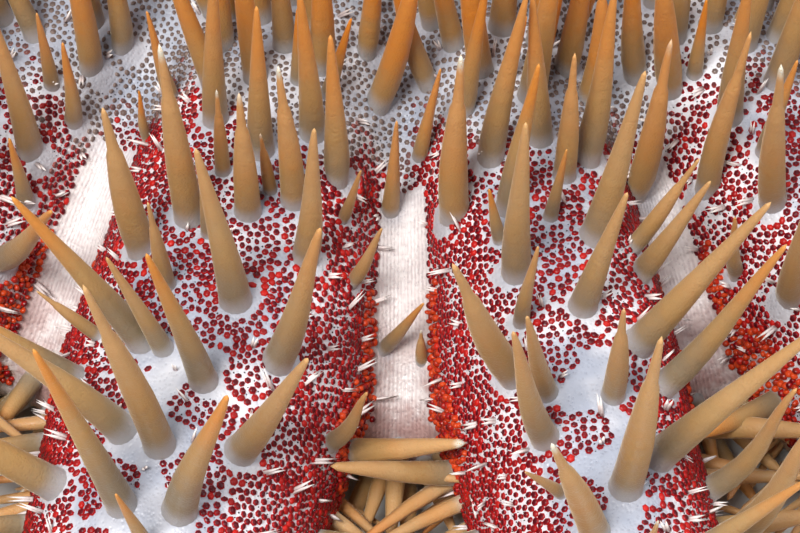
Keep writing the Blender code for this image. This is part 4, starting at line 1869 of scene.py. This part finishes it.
@dataclass
class Fringe:
    """The rows of pointed spines along the arms' sides, and the fans where two arms part."""

    form: StarfishForm
    surface: Surface
    profile: tuple = (
        (0.0, 1.20), (0.07, 1.04), (0.20, 1.0), (0.50, 0.82), (0.76, 0.58), (0.95, 0.34), (1.0, 0.08),
    )
    stout_rows: tuple = (FringeRow(1.20, 0.42, 0.0084, 0.0150, 0.00130),)
    thin_rows: tuple = (
        FringeRow(0.92, 0.12, 0.0045, 0.0135, 0.00085),
        FringeRow(0.60, 0.00, 0.0036, 0.0115, 0.00068),
        FringeRow(0.34, -0.08, 0.0034, 0.0080, 0.00058),
    )
    seed: int = 41
    sink: float = 0.08
    flat: float = 0.9
    fan_count: int = 6
    fan_length: float = 0.0115
    fan_radius: float = 0.00120
    fan_width: float = 0.034
    fan_opening: float = 0.42
    fan_low: float = 0.0035
    fan_height: float = 0.0085
    fan_inset: float = 0.998

    def build(self, stout: bpy.types.Material, thin: bpy.types.Material) -> list[bpy.types.Object]:
        """The fringe as joined meshes.

        Args:
            stout: The stout spines' material.
            thin: The thin spines' material.

        Returns:
            The objects.
        """
        chance = random.Random(self.seed)
        built = []
        for name, rows, material, sides in (
            ("side_spines", self.stout_rows, stout, 9), ("side_fringe", self.thin_rows, thin, 6)
        ):
            spots = self.along_arms(rows, chance)
            if rows is self.stout_rows:
                spots += self.fans(chance)
            form = turned_form(sides, self.profile, True)
            built.append(join_copies(name, form, Placements.of(spots), 0.006, material))
        return built

    def along_arms(self, rows: tuple[FringeRow, ...], chance: random.Random) -> list[tuple]:
        """The spines of some rows down both sides of every arm, as placement rows."""
        form = self.form
        spots = []
        for sector in range(form.arm_count):
            for side in (-1, 1):
                for row in rows:
                    steps = int(form.length[sector] / row.pitch)
                    for step in range(steps):
                        share = min(0.97, 0.05 + 0.95 * (step + chance.uniform(0.1, 0.8)) / steps)
                        spots.append(self.spine(sector, side, share, row, chance))
        return spots

    def spine(self, sector: int, side: int, share: float, row: FringeRow, chance: random.Random) -> tuple:
        """One spine of the fringe as a placement row.

        Args:
            sector: Index of its arm.
            side: Which side of the arm, -1 or 1.
            share: How far out the arm it stands.
            row: The row that it belongs to.
            chance: The draw that varies it.

        Returns:
            The placement row.
        """
        form = self.form
        own = np.array(sector)
        level = row.level * chance.uniform(0.9, 1.1)
        height = float(form.arm_side_height(share)) * level + float(form.lift(share))
        centre = float(form.midline(sector, share))
        along = float(form.root[sector] + share * form.length[sector])
        width = float(form.arm_half_width(own, share))
        foot, normal = self.surface.settle(form.place(own, along, centre + side * width, height))
        forward = 0.40 + 1.3 * float(smooth(share, 0.75, 1.0)) + chance.uniform(-0.30, 0.35)
        aim = form.aside(sector) * side + form.out(sector) * forward
        axis = unit(aim + UP * (row.rise + chance.uniform(-0.15, 0.15)))
        length = row.length * (1 - 0.35 * share) * chance.uniform(0.8, 1.12)
        radius = row.radius * (1 - 0.25 * share) * chance.uniform(0.85, 1.1)
        start = foot - normal * length * self.sink
        reach = length * (1 + self.sink)
        return (start, axis, normal, reach, radius, self.flat, 0.5, chance.random(), 1.0)

    def fans(self, chance: random.Random) -> list[tuple]:
        """The spines that fan out below the web at each place where two arms part."""
        form = self.form
        spots = []
        for start in form.start:
            for k in range(self.fan_count):
                spread = (k - (self.fan_count - 1) / 2) / (self.fan_count - 1) * 2
                turn = start + spread * self.fan_width
                height = self.fan_low + self.fan_height * ((k * 2) % self.fan_count) / self.fan_count
                reach = form.axil_radius * self.fan_inset
                foot, normal = self.surface.settle(heading(turn) * reach + UP * height)
                away = turn + spread * self.fan_opening + chance.uniform(-0.1, 0.1)
                fall = -0.20 + 0.25 * chance.random()
                axis = unit(heading(away) + UP * fall)
                length = self.fan_length * chance.uniform(0.75, 1.2)
                radius = self.fan_radius * chance.uniform(0.7, 1.15)
                root = foot - normal * length * self.sink
                spots.append((root, axis, normal, length, radius, self.flat, 0.4, chance.random(), 1.0))
        return spots


@dataclass
class Underside:
    """What shows from below: tube feet in the furrows, blunt spines on the soles, and the jaws."""

    form: StarfishForm
    feet_seed: int = 53
    sole_seed: int = 59
    foot_pitch: float = 0.0023
    foot_reach: float = 0.0034
    foot_radius: float = 0.00060
    foot_sink: float = 0.0006
    foot_aside: float = 0.0011
    feet_from: float = 0.013
    feet_short_of_tip: float = 0.006
    sole_pitch: float = 0.0034
    sole_height: float = 0.0013
    blunt_length: float = 0.0042
    blunt_radius: float = 0.00062
    soles_from: float = 0.016
    soles_short_of_tip: float = 0.008
    sole_inner: float = 0.0030
    sole_width_share: float = 0.72
    jaw_length: float = 0.0070
    jaw_radius: float = 0.00070
    jaw_count: int = 4
    jaw_radius_out: float = 0.0125
    jaw_rise: float = 0.0005
    foot: tuple = ((0.0, 0.80), (0.45, 0.70), (0.78, 0.75), (0.86, 1.25), (0.98, 1.15), (1.0, 0.10))
    blunt: tuple = ((0.0, 1.10), (0.30, 1.0), (0.75, 0.85), (0.95, 0.55), (1.0, 0.08))

    def tube_feet(self, material: bpy.types.Material) -> bpy.types.Object:
        """Two rows of tube feet down every furrow.

        Args:
            material: Their material.

        Returns:
            The object.
        """
        chance = random.Random(self.feet_seed)
        form = self.form
        spots = []
        for sector in range(form.arm_count):
            end = form.tip(sector) - self.feet_short_of_tip
            for along in np.arange(self.feet_from, end, self.foot_pitch):
                share = float(form.share(sector, along))
                centre = float(form.midline(sector, share))
                for side in (-1, 1):
                    across = centre + side * self.foot_aside + chance.uniform(-0.0002, 0.0002)
                    top = form.furrow_depth + self.foot_sink + float(form.lift(share))
                    root = form.place(np.array(sector), along + side * self.foot_pitch / 4, across, top)
                    axis = unit(np.array([chance.gauss(0, 0.10), chance.gauss(0, 0.10), -1.0]))
                    length = self.foot_reach * chance.uniform(0.85, 1.05)
                    radius = self.foot_radius * (1 - 0.3 * share)
                    spots.append((root, axis, axis, length, radius, 1.0, 0.0, chance.random(), 1.0))
        feet = turned_form(6, self.foot, True)
        return join_copies("tube_feet", feet, Placements.of(spots), 0.003, material)

    def sole_spines(self, material: bpy.types.Material) -> bpy.types.Object:
        """Blunt spines laid flat along the soles, outward from each furrow, and the jaws' spines.

        Args:
            material: Their material.

        Returns:
            The object.
        """
        chance = random.Random(self.sole_seed)
        form = self.form
        spots = []
        for sector in range(form.arm_count):
            end = form.tip(sector) - self.soles_short_of_tip
            for along in np.arange(self.soles_from, end, self.sole_pitch):
                room = float(form.half_width(sector, along)) * self.sole_width_share
                for side in (-1, 1):
                    for across in np.arange(self.sole_inner, room, self.blunt_length):
                        spots.append(self.laid_spine(sector, side, float(along), float(across), chance))
            spots += self.jaw_spines(sector, chance)
        blunt = turned_form(6, self.blunt, True)
        return join_copies("sole_spines", blunt, Placements.of(spots), 0.004, material)

    def laid_spine(self, sector: int, side: int, along: float, across: float, chance: random.Random) -> tuple:
        """One blunt spine laid along the sole, as a placement row."""
        form = self.form
        share = float(form.share(sector, along))
        centre = float(form.midline(sector, share))
        height = self.sole_height + float(form.lift(share))
        place = form.place(np.array(sector), along, centre + side * across, height)
        axis = unit(form.aside(sector) * side + form.out(sector) * chance.uniform(-0.1, 0.7))
        length = self.blunt_length * chance.uniform(0.85, 1.15)
        return (place, axis, axis, length, self.blunt_radius, 0.8, 0.0, chance.random(), 1.0)

    def jaw_spines(self, sector: int, chance: random.Random) -> list[tuple]:
        """The longer spines at one jaw, pointing in over the mouth, as placement rows."""
        spots = []
        for k in range(self.jaw_count):
            turn = self.form.start[sector] + chance.uniform(-0.03, 0.03)
            inward = -heading(turn)
            beside = heading(turn + math.pi / 2)
            root = -inward * (self.jaw_radius_out + 0.0012 * k) + beside * (k - 1.5) * 0.0009
            root[2] = self.sole_height + self.jaw_rise
            axis = unit(inward + beside * (k - 1.5) * 0.10 + UP * 0.05)
            size = (self.jaw_length, self.jaw_radius, 0.85)
            spots.append((root, axis, axis, *size, 0.0, chance.random(), 1.0))
        return spots


@dataclass
class Studio:
    """A pale floor, soft light and the camera at the photo's angle."""

    elevation: float = math.radians(47.0)
    distance: float = 0.25
    lens: float = 115.86
    target: tuple[float, float, float] = (-0.00049, -0.07438, 0.02147)
    lit_place: tuple[float, float, float] = (0.0, -0.04, 0.02)
    floor_level: float = -0.0002
    floor_size: float = 6.0

    def camera(self) -> None:
        """Sets the camera above the two front arms, looking down and back over the disc."""
        data = bpy.data.cameras.new("photo_view")
        data.lens = self.lens
        data.clip_start = 0.005
        eye = bpy.data.objects.new("photo_view", data)
        bpy.context.scene.collection.objects.link(eye)
        back = Vector((0.0, -math.cos(self.elevation), math.sin(self.elevation)))
        eye.location = Vector(self.target) + back * self.distance
        eye.rotation_euler = back.to_track_quat("Z", "Y").to_euler()
        bpy.context.scene.camera = eye

    def light(self, name: str, place: tuple, size: float, power: float, tint: Colour) -> None:
        """One soft area light aimed at the front of the disc.

        Args:
            name: The light's name.
            place: Where it hangs.
            size: Its width.
            power: Its power in watts.
            tint: Its colour.
        """
        data = bpy.data.lights.new(name, "AREA")
        data.size = size
        data.energy = power
        data.color = tint
        lamp = bpy.data.objects.new(name, data)
        bpy.context.scene.collection.objects.link(lamp)
        lamp.location = place
        back = Vector(place) - Vector(self.lit_place)
        lamp.rotation_euler = back.to_track_quat("Z", "Y").to_euler()

    def floor(self) -> bpy.types.Object:
        """The pale floor."""
        clear_selection()
        bpy.ops.mesh.primitive_plane_add(size=self.floor_size, location=(0.0, 0.0, self.floor_level))
        ground = bpy.context.active_object
        ground.name = "floor"
        material, bench, shader = new_material("pale_floor")
        shade = bench.noise(bench.place(), 3.0, 2.0)
        bench.feed(shader.inputs["Base Color"], bench.mix(shade, (0.60, 0.60, 0.59), (0.66, 0.66, 0.65)))
        shader.inputs["Roughness"].default_value = 0.8
        ground.data.materials.append(material)
        return ground

    def build(self) -> None:
        """Sets the whole studio up."""
        self.floor()
        self.light("key", (-0.16, -0.46, 0.60), 0.20, 6.6, (1.0, 0.98, 0.95))
        self.light("fill", (0.50, -0.20, 0.45), 0.45, 1.8, (0.92, 0.96, 1.0))
        self.light("top", (0.0, 0.35, 0.70), 0.50, 2.4, (0.95, 0.98, 1.0))
        world = bpy.data.worlds.new("soft_world")
        world.use_nodes = True
        sky = world.node_tree.nodes["Background"]
        sky.inputs["Color"].default_value = (0.85, 0.90, 1.0, 1.0)
        sky.inputs["Strength"].default_value = 0.30
        bpy.context.scene.world = world
        bpy.context.scene.view_settings.view_transform = "Standard"
        self.camera()


def put_on_body(objects: list[bpy.types.Object]) -> None:
    """Lets pieces ride on the one body.

    Args:
        objects: The pieces.
    """
    for obj in objects:
        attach(obj, BODY)
        obj.data.calc_loop_triangles()
        LOG.info("%s: %d triangles", obj.name, len(obj.data.loop_triangles))


def main() -> None:
    """Builds the starfish and the studio, in order."""
    logging.basicConfig(level=logging.INFO, format="%(message)s")
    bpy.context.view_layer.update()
    grain, rays = grain_group(), ray_group()
    form = StarfishForm()
    spines = SpineField(form)
    spines.plan()
    LOG.info("%d spines planned", len(spines.spines))
    skin = Skin(form, spines).build(SkinFinish().make(grain, rays))
    put_on_body([skin])
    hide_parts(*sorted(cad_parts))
    surface = Surface(skin)
    sheath = SpineFinish("spine_sheath").make(grain)
    put_on_body(SpineCoat(spines, surface).build(sheath))
    put_on_body(PapulaCoat(form, spines, surface).build(PapulaFinish().make(grain)))
    white = FleshFinish("pincer_white", (0.74, 0.64, 0.63), (0.90, 0.85, 0.82)).make(grain)
    put_on_body([BristleCoat(form, surface).build(white)])
    orange = SpineFinish(
        "fringe_sheath",
        foot=(0.52, 0.38, 0.28),
        root=(0.50, 0.31, 0.15),
        shaft=(0.60, 0.29, 0.10),
        upper=(0.64, 0.20, 0.035),
        tip=(0.60, 0.10, 0.012),
    )
    put_on_body(Fringe(form, surface).build(sheath, orange.make(grain)))
    underside = Underside(form)
    feet = FleshFinish("tube_foot_flesh", (0.55, 0.34, 0.20), (0.74, 0.58, 0.42)).make(grain)
    put_on_body([underside.tube_feet(feet)])
    blunt = FleshFinish("sole_spine_flesh", (0.58, 0.38, 0.24), (0.72, 0.48, 0.30)).make(grain)
    put_on_body([underside.sole_spines(blunt)])
    Studio().build()


if __name__ == "__main__":
    main()
